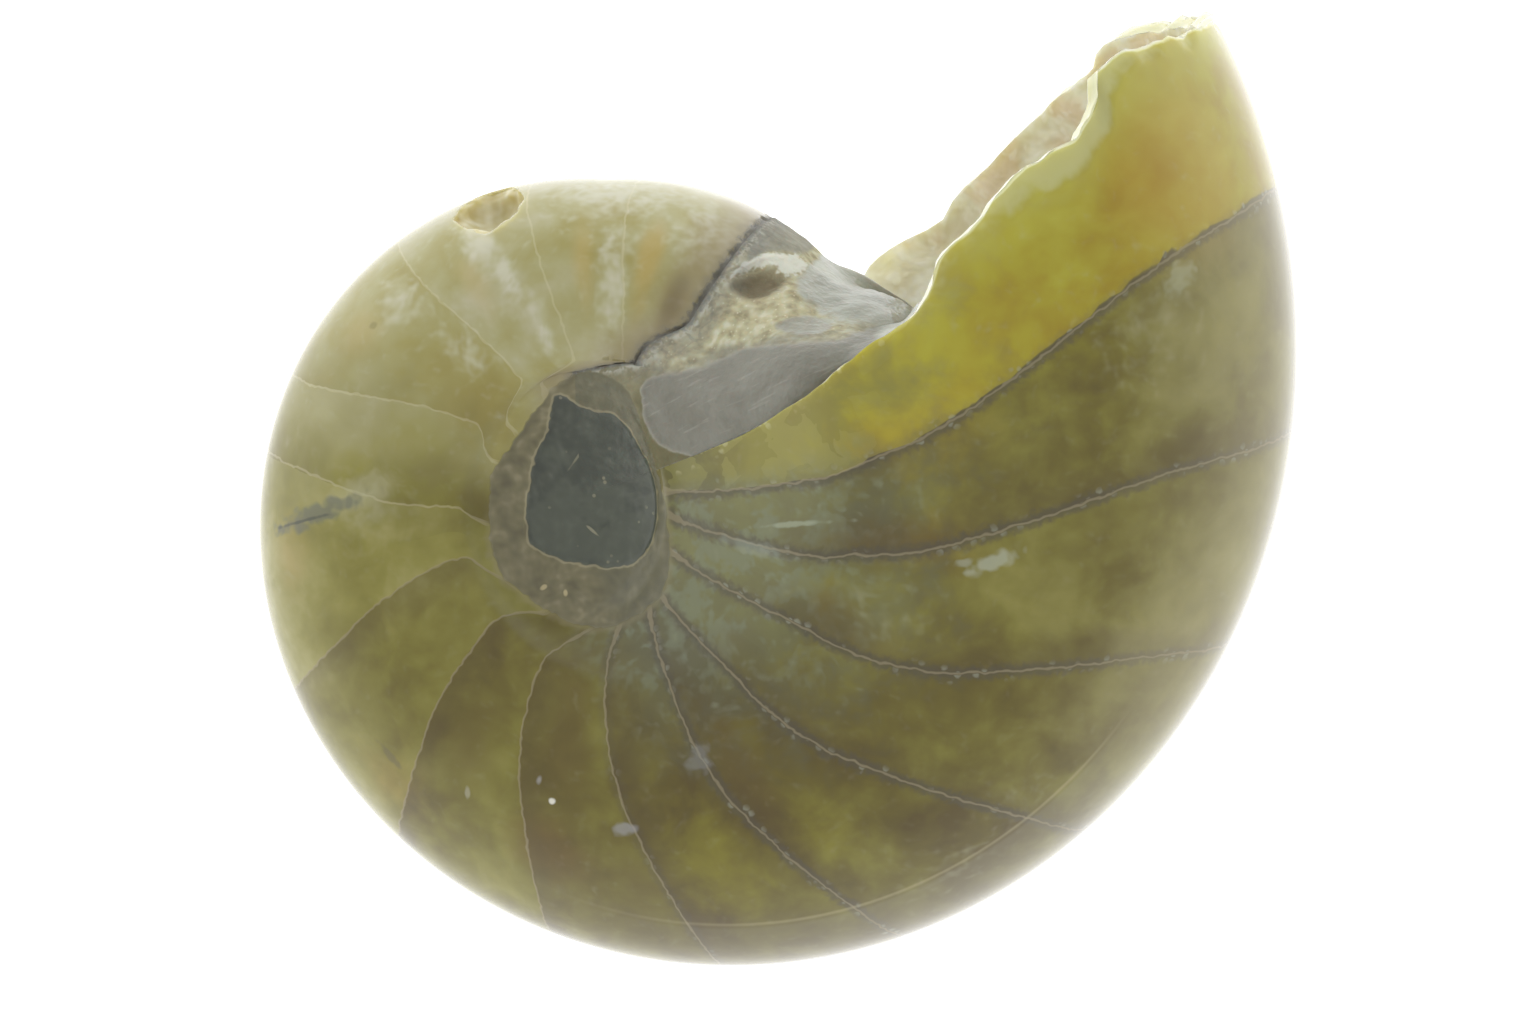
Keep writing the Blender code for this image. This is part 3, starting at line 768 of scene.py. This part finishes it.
def mark_layers(tree, place, seen, middles):
    """Layers for the small marks, each an ellipse with a ragged edge."""
    layers = []
    for middle, (_, _, length, width, turn, code, strength) in zip(middles, MARKS):
        centred = add(tree, "VectorMath", {0: place, 1: tuple(middle)}, operation="SUBTRACT")
        turned = add(tree, "VectorRotate", {"Vector": centred, "Angle": -math.radians(turn)},
                     rotation_type="Z_AXIS")
        size = (1.0 / (length * MM), 1.0 / (width * MM), 1.0 / ((length + 4.0) * MM))
        fitted = add(tree, "VectorMath", {0: turned, 1: size}, operation="MULTIPLY")
        seen["reach"] = add(tree, "VectorMath", {0: fitted}, out=1, operation="LENGTH")
        share = shares_of(tree, seen, {"mark": ("reach", 1.25, 0.45, 1.3, 1.9)})["mark"]
        layers.append((code, share, 0.75 * strength))
    return layers


def navel_layers(tree, place, seen, shares):
    """Layers for the stone in the navels: dark mudstone with a thin pale rim, in a ring of tan crust."""
    seen["specks"] = add(tree, "TexVoronoi", {"Vector": place, "Scale": 900.0}, out=0)
    shares.update(shares_of(tree, seen, {
        "ring": ("ring", -0.10, 0.15, 1.3, 0.9),
        "dark_crust": ("angle", 265.0, 300.0, 4.0, 60.0),
        "rock": ("rock", -0.06, 0.08, 1.3, 0.7),
        "near_rock": ("rock", -0.30, -0.12, 1.3, 0.7),
        "off_rock": ("rock", 0.08, -0.06, 1.3, 0.7),
        "tongue": (11.0, 0.47, 0.56, 4.0, 0.6),
        "speck": ("specks", 0.20, 0.11),
        "rare": (4.0, 0.50, 0.60),
    }))
    crust = add(tree, "ValToRGB", {0: seen[1.3]}, stops=(
        (0.25, "#635e46"), (0.46, "#6f6a4e"), (0.60, "#787256"), (0.78, "#8a8468")))
    stone = add(tree, "ValToRGB", {0: seen[1.3]}, stops=(
        (0.25, "#42463d"), (0.50, "#484c42"), (0.66, "#505449"), (0.85, "#62655a")))
    colors = [
        (crust, "ring"), ("#585a4b", "ring", "dark_crust", 0.45), ("#a1997b", "near_rock", "off_rock", 0.45),
        (stone, "rock"), ("#5b6052", "rock", "tongue", 0.45), ("#8e8a70", "rock", "speck", "rare", 0.6),
    ]
    roughness = [(0.34, "ring"), (0.42, "near_rock", "off_rock"), (0.30, "rock")]
    return colors, roughness


def chamber_stone(tree, seen):
    """Calcite's colours by depth of tone: olive, the body chamber's amber, and the early whorl's cream."""
    chamber = add(tree, "Math", {0: seen["chamber"], 1: CHAMBERS}, operation="DIVIDE")
    tones = tuple((first / CHAMBERS, code) for first, code in CHAMBER_TONES)
    depth = add(tree, "ValToRGB", {0: chamber}, stops=tones, interpolation="CONSTANT")
    for size, strength in ((11.0, 0.9), (4.0, 0.4)):
        depth = add(tree, "Math", {0: seen[size], 1: strength, 2: depth}, operation="MULTIPLY_ADD")
    depth = add(tree, "Math", {0: depth, 1: 0.63}, operation="SUBTRACT")
    places = (0.20, 0.38, 0.52, 0.68, 0.88)
    return [
        add(tree, "ValToRGB", {0: depth}, stops=tuple(zip(places, codes)))
        for codes in (
            ("#544718", "#655c1f", "#756f2b", "#85803c", "#9c9760"),
            ("#876b14", "#927f13", "#9c9220", "#a6a232", "#b4b45e"),
            ("#908648", "#9b945a", "#a4a071", "#b0ac8c", "#c2c1ae"),
        )
    ]


def see_sutures(tree, place, seen):
    """Adds to what a finish sees: how far the nearest suture is, bubbles along it, and fans of crystals."""
    even = add(tree, "Math", {0: seen["even_share"], 1: 0.5}, operation="GREATER_THAN")
    suture = add(tree, "Mix", {0: even, 2: seen["suture_odd"], 3: seen["suture_even"]}, data_type="FLOAT")
    wander = add(tree, "Math", {0: seen[1.3], 1: 0.6, 2: -0.3}, operation="MULTIPLY_ADD")
    seen["suture"] = add(tree, "Math", {0: suture, 1: wander}, operation="ADD")
    seen["near"] = add(tree, "Math", {0: seen["suture"]}, operation="ABSOLUTE")
    # A suture spreads where it runs into the navel's ring.
    spread = add(tree, "MapRange", {0: seen["ring"], 1: -2.2, 2: -0.2, 3: 0.0, 4: 0.20})
    seen["near_spread"] = add(tree, "Math", {0: seen["near"], 1: spread}, operation="SUBTRACT")
    seen["bubbles"] = add(tree, "TexVoronoi", {"Vector": place, "Scale": 820.0}, out=0)
    # The fans are about 3 mm across, each a little lighter or darker than the next.
    bent = add(tree, "VectorMath", {0: seen[1.3], 1: (0.0018,) * 3, 2: place}, operation="MULTIPLY_ADD")
    seen["fans"] = add(tree, "TexVoronoi", {"Vector": bent, "Scale": 330.0}, out=1)


def polished_calcite(middles, colors):
    """Chamber calcite, ground and polished: clear gloss over cloudy stone that light soaks into.

    It gives the eye olive-brown chambers, a golden body chamber and a milky early whorl, with fine pale
    sutures, grey-green crystals by the navel and a paler lip with flake scars. Painted light in it: a glow
    through the lip's thin free wall and a highlight on its edge, a reflection paling the rim and a band
    towards the venter, and shade in the corner by the navel.
    """
    material, tree, place, seen = start_finish("polished_calcite", (11.0, 4.0, 1.3, 0.6))
    see_sutures(tree, place, seen)
    shares = shares_of(tree, seen, {
        # Along the whorl.
        "early": ("angle", 210.0, 180.0), "middle_on": ("angle", 175.0, 215.0),
        "late": ("angle", 255.0, 300.0),
        "creamy": ("angle", 190.0, 140.0, 4.0, 30.0), "not_creamy": ("angle", 140.0, 190.0, 4.0, 30.0),
        "body": ("chamber", 13.995, 14.005), "not_body": ("chamber", 14.005, 13.995),
        "crystals_on": ("angle", 262.0, 292.0, 4.0, 20.0), "crystals_end": ("angle", 374.0, 360.0, 4.0, 10.0),
        "mouthward": ("angle", 326.0, 338.0, 4.0, 12.0), "not_mouthward": ("angle", 338.0, 326.0, 4.0, 12.0),
        # From the navel to the venter.
        "near_navel": ("height", 0.60, 0.42, 4.0, 0.35), "shaded_by_navel": ("height", 0.36, 0.27, 4.0, 0.10),
        "off_navel": ("height", 0.34, 0.48), "free_lip": ("height", 0.50, 0.58),
        "laid_lip": ("height", 0.54, 0.50), "pale_rim_reflection": ("height", 0.62, 0.92, 11.0, 0.30),
        "outer_rim_reflection": ("height", 0.80, 1.0, 4.0, 0.12),
        "off_ring": ("ring", 0.3, -0.6), "ring_edge": ("ring", -0.75, -0.10, 1.3, 0.9),
        "arc": ("lift", REFLECTION_EDGE_LIFT - 0.28, REFLECTION_EDGE_LIFT), "arc_over": ("lift", REFLECTION_EDGE_LIFT + 0.22, REFLECTION_EDGE_LIFT),
        "reflection_band": ("lift", REFLECTION_EDGE_LIFT, REFLECTION_EDGE_LIFT - 0.6),
        # Beside a suture.
        "shade": ("suture", 4.5, 0.0, 4.0, 3.0), "mouth_side": ("suture", -0.05, 0.05),
        "border": ("near", 1.0, 0.20, 0.6, 0.9), "core": ("near_spread", 0.16, 0.04),
        "bubbly": ("near", 0.9, -0.3, 4.0, 2.6), "off_core": ("near", 0.10, 0.22),
        "bubble": ("bubbles", 0.36, 0.20, 0.6, 0.30),
        # At the lip, the crack and the notch.
        "backlit_fringe": ("lip", 5.5, -1.5, 4.0, 9.0), "edge": ("lip", 0.45, 0.10, 1.3, 0.4),
        "stitched": ("lip", 1.1, 0.4, 1.3, 0.8), "chipped_and_backlit": ("flake", 0.05, 0.55, 1.3, 0.5),
        "whorl_start": ("crack", 6.5, 0.3, 4.0, 4.0), "crack_side": ("crack", 1.6, 0.2, 1.3, 1.4),
        "crack_line": ("crack", 0.62, 0.15, 0.6, 1.4), "notched": ("notch", -0.12, 0.02),
        # Crystals and stains.
        "crystal": (4.0, 0.44, 0.60, 1.3, 0.5), "pale_fan": ("fans", 0.44, 0.66, 1.3, 0.3),
        "cloudy": ("cloud", 0.05, 0.95, 1.3, 1.1), "golden": ("gold", 0.15, 0.75, 4.0, 0.5),
        "rusty": ("rust", 0.10, 0.70, 4.0, 0.4), "browned": ("brown", 0.10, 0.60, 4.0, 0.4),
    })
    olive, amber, cream = chamber_stone(tree, seen)
    sugar = add(tree, "ValToRGB", {0: seen[1.3]}, stops=(
        (0.30, "#b9ad78"), (0.50, "#c3ba8f"), (0.64, "#cdc7a6"), (0.80, "#dad7c3")))
    navel_colors, navel_roughness = navel_layers(tree, place, seen, shares)
    color = layered(tree, olive, shares, [
        (amber, "body"),
        ("#868020", "golden", "not_body", 0.7),
        ("#a89f2a", "golden", "body", 0.4),
        ("#7f7a3c", "near_navel", "body", 0.80),
        # Painted shade: dark olive in the body chamber's corner by the navel's ring.
        ("#55522f", "shaded_by_navel", "body", 0.75),
        ("#a3a056", "pale_fan", "near_navel", "body", 0.26),
        ("#a8872c", "rusty", "body", 0.46),
        ("#947422", "rusty", "not_body", 0.50),
        (cream, "creamy"),
        ("#b89d52", "rusty", "creamy", 0.48),
        ("#55431d", "browned", "not_body", 0.65),
        ("#7f8670", "crystals_on", "near_navel", "crystals_end", "crystal", 0.50),
        ("#69705a", "crystals_on", "near_navel", "crystals_end", 0.42),
        ("#a9a886", "cloudy", "not_creamy", 0.45),
        ("#cfcfc0", "cloudy", "creamy", 0.60),
        ("#4f4120", "shade", "mouth_side", "middle_on", "off_navel", "not_body", 0.50),
        ("#4f493a", "border", "late", "off_ring", "not_body", 0.70),
        ("#6b6340", "border", "body", "off_ring", 0.30),
        # Painted reflection: the rim paled and greyed towards the venter, for the white surround mirrored in
        # the polish at grazing angles.
        ("#8d8666", "pale_rim_reflection", "mouthward", "not_body", 0.50),
        ("#aaa68a", "outer_rim_reflection", "not_mouthward", 0.25),
        ("#a9a676", "pale_rim_reflection", "body", 0.20),
        # Painted reflection: a greyer, paler band below the lift, for the bright table mirrored in the
        # polish, and a pale line at its edge.
        ("#8f8b74", "reflection_band", "late", "not_mouthward", 0.28),
        ("#b5ac86", "arc", "arc_over", "late", "not_mouthward", 0.30),
        # Painted light: the stone paler towards the lip where it stands free, for light shining through the
        # thin wall over the hollow; the flake scars paler, partly the pale broken stone, partly the same
        # painted light through the thinner wall.
        ("#b4b56c", "backlit_fringe", "body", "free_lip", 0.35),
        ("#c2c69c", "chipped_and_backlit", "body", "free_lip", 0.50),
        # Painted highlight: a bright line along the free lip's edge.
        ("#d6d9be", "edge", "body", "free_lip", 0.5),
        ("#b8b688", "bubble", "stitched", "body", "laid_lip", 0.45),
        ("#a5a995", "bubble", "bubbly", "off_core", "late", "off_ring", 0.42),
        ("#c9c1a0", "core", "off_ring", "early", 0.30),
        (tuple(colors.suture), "core", "off_ring", "middle_on", 0.52),
        ("#8d8468", "ring_edge", "middle_on", 0.35),
        ("#8a7b66", "whorl_start", 0.55),
        ("#77746c", "crack_side", 0.45),
        (tuple(colors.crack), "crack_line", 0.75),
        (sugar, "notched"),
        *navel_colors,
        *mark_layers(tree, place, seen, middles),
    ])
    roughness = layered(tree, 0.09, shares, [
        (0.5, "notched"), (0.6, "crack_line", 0.8), *navel_roughness], "FLOAT")
    # Crust and rock are rough to the touch; the polish keeps only a ripple of it.
    rippled = add(tree, "MapRange", {0: seen["ring"], 1: -0.1, 2: 0.3, 3: 0.06, 4: 1.0})
    skin = add(tree, "TexNoise", {"Vector": place, "Scale": 1100.0, "Detail": 1.0})
    skin = add(tree, "Math", {0: skin, 1: rippled}, operation="MULTIPLY")
    fill(tree, tree.nodes["Principled BSDF"], {
        "Base Color": color, "Roughness": roughness, "IOR": CALCITE_IOR, "Subsurface Weight": 0.45,
        "Subsurface Radius": CALCITE_SCATTER, "Subsurface Scale": 0.004,
        "Normal": add(tree, "Bump", {"Strength": 0.4, "Distance": 0.00012, "Height": skin}),
    })
    return material


def callus_crust(colors):
    """The weathered deposit beside the mouth: a smooth mauve-grey film next to a sandy crust, with painted
    glints on the crust, a painted highlight round the film's edge and painted shade by the navel.

    It gives the eye a dull, frosted surface, where the rest is glossy.
    """
    material, tree, place, seen = start_finish("callus_crust", (11.0, 4.0, 1.3, 0.6))
    # Fine scratches, 4 mm long and 0.4 mm wide, run slantwise over the film.
    laid = {"Vector": place, "Rotation": (0.0, 0.0, 0.45), "Scale": (0.0040, 0.0004, 0.0040)}
    stretch = add(tree, "Mapping", laid, vector_type="TEXTURE")
    seen["streaks"] = add(tree, "TexNoise", {"Vector": stretch, "Scale": 1.0, "Detail": 3.0})
    seen["glint_highlight_cells"] = add(tree, "TexVoronoi", {"Vector": place, "Scale": 1600.0})
    seen["veins"] = add(tree, "TexVoronoi", {"Vector": place, "Scale": 480.0}, feature="DISTANCE_TO_EDGE")
    shares = shares_of(tree, seen, {
        "film": ("film", -0.15, 0.15, 1.3, 0.5), "film_rim_highlight": ("film", -0.28, -0.05, 1.3, 0.5),
        "film_rim_highlight_inner": ("film", 0.35, 0.0, 1.3, 0.5), "film_fade": ("film", -1.8, 0.4, 4.0, 3.5),
        "off_film": ("film", 0.05, -0.15, 1.3, 0.5), "streaky": ("streaks", 0.58, 0.70),
        "saddle": ("saddle", -0.4, 0.4, 1.3, 1.0), "lens": ("lens", -0.2, 0.2, 1.3, 0.5),
        "pit": ("pit", -0.3, 0.7, 1.3, 1.2), "white_crust": ("crust", -0.15, 0.15, 0.6, 0.9),
        "wedge": ("wedge", -0.1, 0.4, 1.3, 0.8), "shaded_by_navel": ("height", 0.36, 0.30),
        "glint_highlight": ("glint_highlight_cells", 0.22, 0.10), "lit": (0.6, 0.42, 0.60), "vein": ("veins", 0.07, 0.02, 0.6, 0.12),
        "veined": ("crack", -5.0, -2.0, 4.0, 4.0), "at_lip": ("crack", -3.6, -4.8, 1.3, 1.0),
        "crack_side": ("crack", -2.4, -0.4, 1.3, 2.4), "crack_line": ("crack", -1.0, -0.2, 0.6, 1.8),
    })
    sand = add(tree, "ValToRGB", {0: seen[1.3]}, stops=(
        (0.28, "#857e60"), (0.44, "#9c9678"), (0.56, "#adaa8a"), (0.72, "#c0bfa8")))
    mauve = add(tree, "ValToRGB", {0: seen[4.0]}, stops=(
        (0.30, "#6a695e"), (0.50, "#727167"), (0.70, "#7b7b71")))
    smooth_grey = add(tree, "ValToRGB", {0: seen[11.0]}, stops=(
        (0.35, "#7c7e70"), (0.50, "#929486"), (0.65, "#a8ab9c")))
    navel_colors, navel_roughness = navel_layers(tree, place, seen, shares)
    color = layered(tree, sand, shares, [
        ("#b9b28c", "lit", 0.35),
        # Painted glints: tiny bright dots for the sparkle of the crust's crystals.
        ("#dedcc4", "glint_highlight", 0.35),
        (mauve, "film_fade", 0.7),
        # Painted shade: dark olive-brown in the corner between the callus, the lip and the navel's ring.
        ("#56522f", "off_film", "at_lip", "shaded_by_navel", 0.85),
        (mauve, "film", 0.8),
        ("#9c9b90", "film", "streaky", 0.30),
        # Painted highlight: a pale line round the film's rounded edge.
        ("#c6c5ba", "film_rim_highlight", "film_rim_highlight_inner", 0.14),
        (smooth_grey, "saddle"),
        ("#85867c", "lens", 0.8),
        ("#7d7d74", "wedge", 0.75),
        ("#6a5f47", "pit", 0.9),
        ("#c8cabf", "white_crust", 0.85),
        ("#7d7c75", "veined", 0.45),
        ("#666661", "veined", "vein", 0.25),
        # Painted shade: darker by the navel, off the film.
        ("#6a6547", "off_film", "shaded_by_navel", 0.60),
        ("#b6b7ac", "crack_side", "lit", 0.75),
        (tuple(colors.crack), "crack_line", 0.7),
        *navel_colors,
    ])
    roughness = layered(tree, 0.72, shares, [
        (0.42, "film"), (0.30, "saddle"), (0.35, "lens"), *navel_roughness], "FLOAT")
    sandy = add(tree, "TexNoise", {"Vector": place, "Scale": 1500.0, "Detail": 2.0})
    fill(tree, tree.nodes["Principled BSDF"], {
        "Base Color": color, "Roughness": roughness, "IOR": CALCITE_IOR, "Subsurface Weight": 0.2,
        "Subsurface Scale": 0.002,
        "Normal": add(tree, "Bump", {"Strength": 0.6, "Distance": 0.00025, "Height": sandy}),
    })
    return material


def broken_calcite():
    """Calcite where the mouth broke: pale, sugary, stained orange, with light soaking through its edges."""
    material, tree, place, seen = start_finish("broken_calcite", (11.0, 4.0, 1.3))
    shares = shares_of(tree, seen, {"stained": (11.0, 0.52, 0.62), "lit": (1.3, 0.55, 0.68)})
    color = add(tree, "ValToRGB", {0: seen[4.0]}, stops=(
        (0.28, "#c4be9c"), (0.45, "#cfcdb4"), (0.58, "#d8d8c8"), (0.75, "#e4e5dd")))
    color = layered(tree, color, shares, [("#c4ad78", "stained", 0.45), ("#dfdfd6", "lit", 0.4)])
    fill(tree, tree.nodes["Principled BSDF"], {
        "Base Color": color, "Roughness": 0.38, "IOR": CALCITE_IOR, "Subsurface Weight": 0.5,
        "Subsurface Radius": CALCITE_SCATTER, "Subsurface Scale": 0.004,
        "Normal": add(tree, "Bump", {"Strength": 0.6, "Distance": 0.0004, "Height": seen[1.3]}),
    })
    return material


def ground_calcite():
    """Calcite ground level underneath, not polished: satin, a little paler, with arcs of fine scratches."""
    material, tree, place, seen = start_finish("ground_calcite", (4.0, 0.6))
    seen["arcs"] = add(tree, "TexWave", {"Vector": place, "Scale": 320.0, "Distortion": 2.5, "Detail": 2.0},
                       out=1, wave_type="RINGS", rings_direction="Z")
    shares = shares_of(tree, seen, {"scratch": ("arcs", 0.80, 0.95, 0.6, 0.5)})
    color = add(tree, "ValToRGB", {0: seen[4.0]}, stops=(
        (0.30, "#6f6836"), (0.50, "#857f4b"), (0.70, "#9d9868")))
    fill(tree, tree.nodes["Principled BSDF"], {
        "Base Color": layered(tree, color, shares, [("#b9b697", "scratch", 0.30)]), "Roughness": 0.45,
        "IOR": CALCITE_IOR,
        "Normal": add(tree, "Bump", {"Strength": 0.3, "Distance": 0.0001, "Height": shares["scratch"]}),
    })
    return material


def assign_finishes(mesh):
    """Polished outside and on the lip, crust on the callus, broken in the hollow, and ground beneath."""
    path, line = read_float(mesh, "path"), face_means(mesh, read_float(mesh, "line"))
    joined = crosses_seam(mesh, path)
    path = face_means(mesh, path % 1.0)
    raised = (np.abs(read_points(mesh)[:, 2]) > 1e-5) * 1.0
    inside = (path > LIP_END) & (path < 1.0) & ~joined
    coated = (line < COATED_LINE) | (line > HOLLOW_CLOSES[1]) | (path > HOLLOW_END)
    finish = np.where(inside & coated, 1, np.where(inside, 2, 0))
    beneath = face_means(mesh, raised) == 0.0
    mesh.polygons.foreach_set("material_index", np.where(beneath, 3, finish).astype(np.int32))


class FossilShape(bpy.types.PropertyGroup):
    """Sizes of the fossil."""

    spiral_radius: bpy.props.FloatProperty(
        name="Spiral Radius", description="Radius of the venter at whorl angle 0",
        default=0.02084, subtype="DISTANCE", unit="LENGTH")
    spiral_growth: bpy.props.FloatProperty(
        name="Spiral Growth", description="Growth of the spiral for each radian", default=0.1771)
    lip_thickness: bpy.props.FloatProperty(
        name="Lip Thickness", description="Thickness of the wall at the broken lip",
        default=0.0020, subtype="DISTANCE", unit="LENGTH")
    septum_depth: bpy.props.FloatProperty(
        name="Septum Depth", description="How far the last septum bows in",
        default=0.0085, subtype="DISTANCE", unit="LENGTH")
    lean: bpy.props.FloatProperty(
        name="Lean", description="Lean of the coiling axis as the fossil lies",
        default=math.radians(11.4), subtype="ANGLE", unit="ROTATION")
    lean_direction: bpy.props.FloatProperty(
        name="Lean Direction", description="Where the coiling axis leans, in the shell's plane",
        default=math.radians(37.0), subtype="ANGLE", unit="ROTATION")
    steps: bpy.props.IntProperty(name="Steps", description="Steps along the path", default=340)
    lines: bpy.props.IntProperty(name="Lines", description="Lines from one navel to the other", default=150)


class FossilColors(bpy.types.PropertyGroup):
    """Colours of the fossil's lines."""

    suture: bpy.props.FloatVectorProperty(
        name="Sutures", description="Colour of the fine lines between the chambers",
        default=linear("#968b6e"), size=4, subtype="COLOR", min=0.0, max=1.0)
    crack: bpy.props.FloatVectorProperty(
        name="Crack", description="Colour of the crack between the callus and the whorl's beginning",
        default=linear("#585854"), size=4, subtype="COLOR", min=0.0, max=1.0)


class FOSSIL_OT_shell(bpy.types.Operator):
    """Make the polished shell."""

    bl_idname = "fossil.shell"
    bl_label = "Shell"

    def execute(self, context):
        shape, colors = context.scene.fossil_shape, context.scene.fossil_colors
        bpy.ops.object.select_all(action="DESELECT")
        bpy.ops.mesh.primitive_uv_sphere_add(segments=shape.steps, ring_count=shape.lines, radius=1.0)
        shell = context.active_object
        shell.name = shell.data.name = "fossil_shell"
        mesh = shell.data
        spread_grid(mesh, shape)
        for path, line in DETAIL:
            refine(shell, path, line)
        fields = shape_shell(mesh, shape)
        write_fields(mesh, fields)
        middles = lay_down(mesh, shape)
        grind_flat(shell)
        bpy.ops.object.shade_smooth()

        mesh.materials.append(polished_calcite(middles, colors))
        mesh.materials.append(callus_crust(colors))
        mesh.materials.append(broken_calcite())
        mesh.materials.append(ground_calcite())
        assign_finishes(mesh)
        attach(shell, "root")
        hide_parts(NODE)
        return {"FINISHED"}


class FOSSIL_OT_stage(bpy.types.Operator):
    """Make the light table, the lights and the camera."""

    bl_idname = "fossil.stage"
    bl_label = "Stage"

    def execute(self, context):
        bpy.ops.object.select_all(action="DESELECT")
        bpy.ops.mesh.primitive_plane_add(size=3.0)
        floor = context.active_object
        floor.name = floor.data.name = "light_table"
        material = bpy.data.materials.new("light_table_acrylic")
        material.use_nodes = True
        fill(material.node_tree, material.node_tree.nodes["Principled BSDF"], {
            "Base Color": (0.15, 0.15, 0.15, 1.0), "Emission Color": (1.0, 1.0, 1.0, 1.0),
            "Emission Strength": TABLE_GLOW,
        })
        floor.data.materials.append(material)

        camera = bpy.data.cameras.new("camera")
        camera.lens, camera.sensor_width = CAMERA_LENS, CAMERA_SENSOR
        camera.clip_start = 0.01
        holder = bpy.data.objects.new("camera", camera)
        holder.location = CAMERA_PLACE
        context.scene.collection.objects.link(holder)
        context.scene.camera = holder

        world = bpy.data.worlds.new("white_tent")
        world.use_nodes = True
        tent = world.node_tree
        direction = add(tent, "SeparateXYZ", {0: add(tent, "TexCoord")}, out=2)
        glow = add(tent, "MapRange", {0: direction, 1: 0.0, 2: 0.75, 3: HORIZON_GLOW, 4: OVERHEAD_GLOW},
                   interpolation_type="SMOOTHSTEP")
        fill(tent, tent.nodes["Background"], {"Color": (1.0, 1.0, 1.0, 1.0), "Strength": glow})
        context.scene.world = world
        context.scene.view_settings.view_transform = "Standard"
        return {"FINISHED"}


class FOSSIL_PT_panel(bpy.types.Panel):
    """Lists the fossil's sizes and the operators that make it."""

    bl_idname = "FOSSIL_PT_panel"
    bl_label = "Fossil Nautilus"
    bl_space_type = "VIEW_3D"
    bl_region_type = "UI"
    bl_category = "Fossil"

    def draw(self, context):
        scene = context.scene
        for owner, group in ((scene.fossil_shape, FossilShape), (scene.fossil_colors, FossilColors)):
            for name in group.__annotations__:
                self.layout.prop(owner, name)
        for operator in OPERATORS:
            self.layout.operator(operator.bl_idname)


OPERATORS = (FOSSIL_OT_shell, FOSSIL_OT_stage)
CLASSES = (FossilShape, FossilColors, *OPERATORS, FOSSIL_PT_panel)


def register():
    for kind in CLASSES:
        bpy.utils.register_class(kind)
    bpy.types.Scene.fossil_shape = bpy.props.PointerProperty(type=FossilShape)
    bpy.types.Scene.fossil_colors = bpy.props.PointerProperty(type=FossilColors)


def unregister():
    del bpy.types.Scene.fossil_shape, bpy.types.Scene.fossil_colors
    for kind in reversed(CLASSES):
        bpy.utils.unregister_class(kind)


def main():
    register()
    bpy.ops.fossil.shell()
    bpy.ops.fossil.stage()


if __name__ == "__main__":
    main()
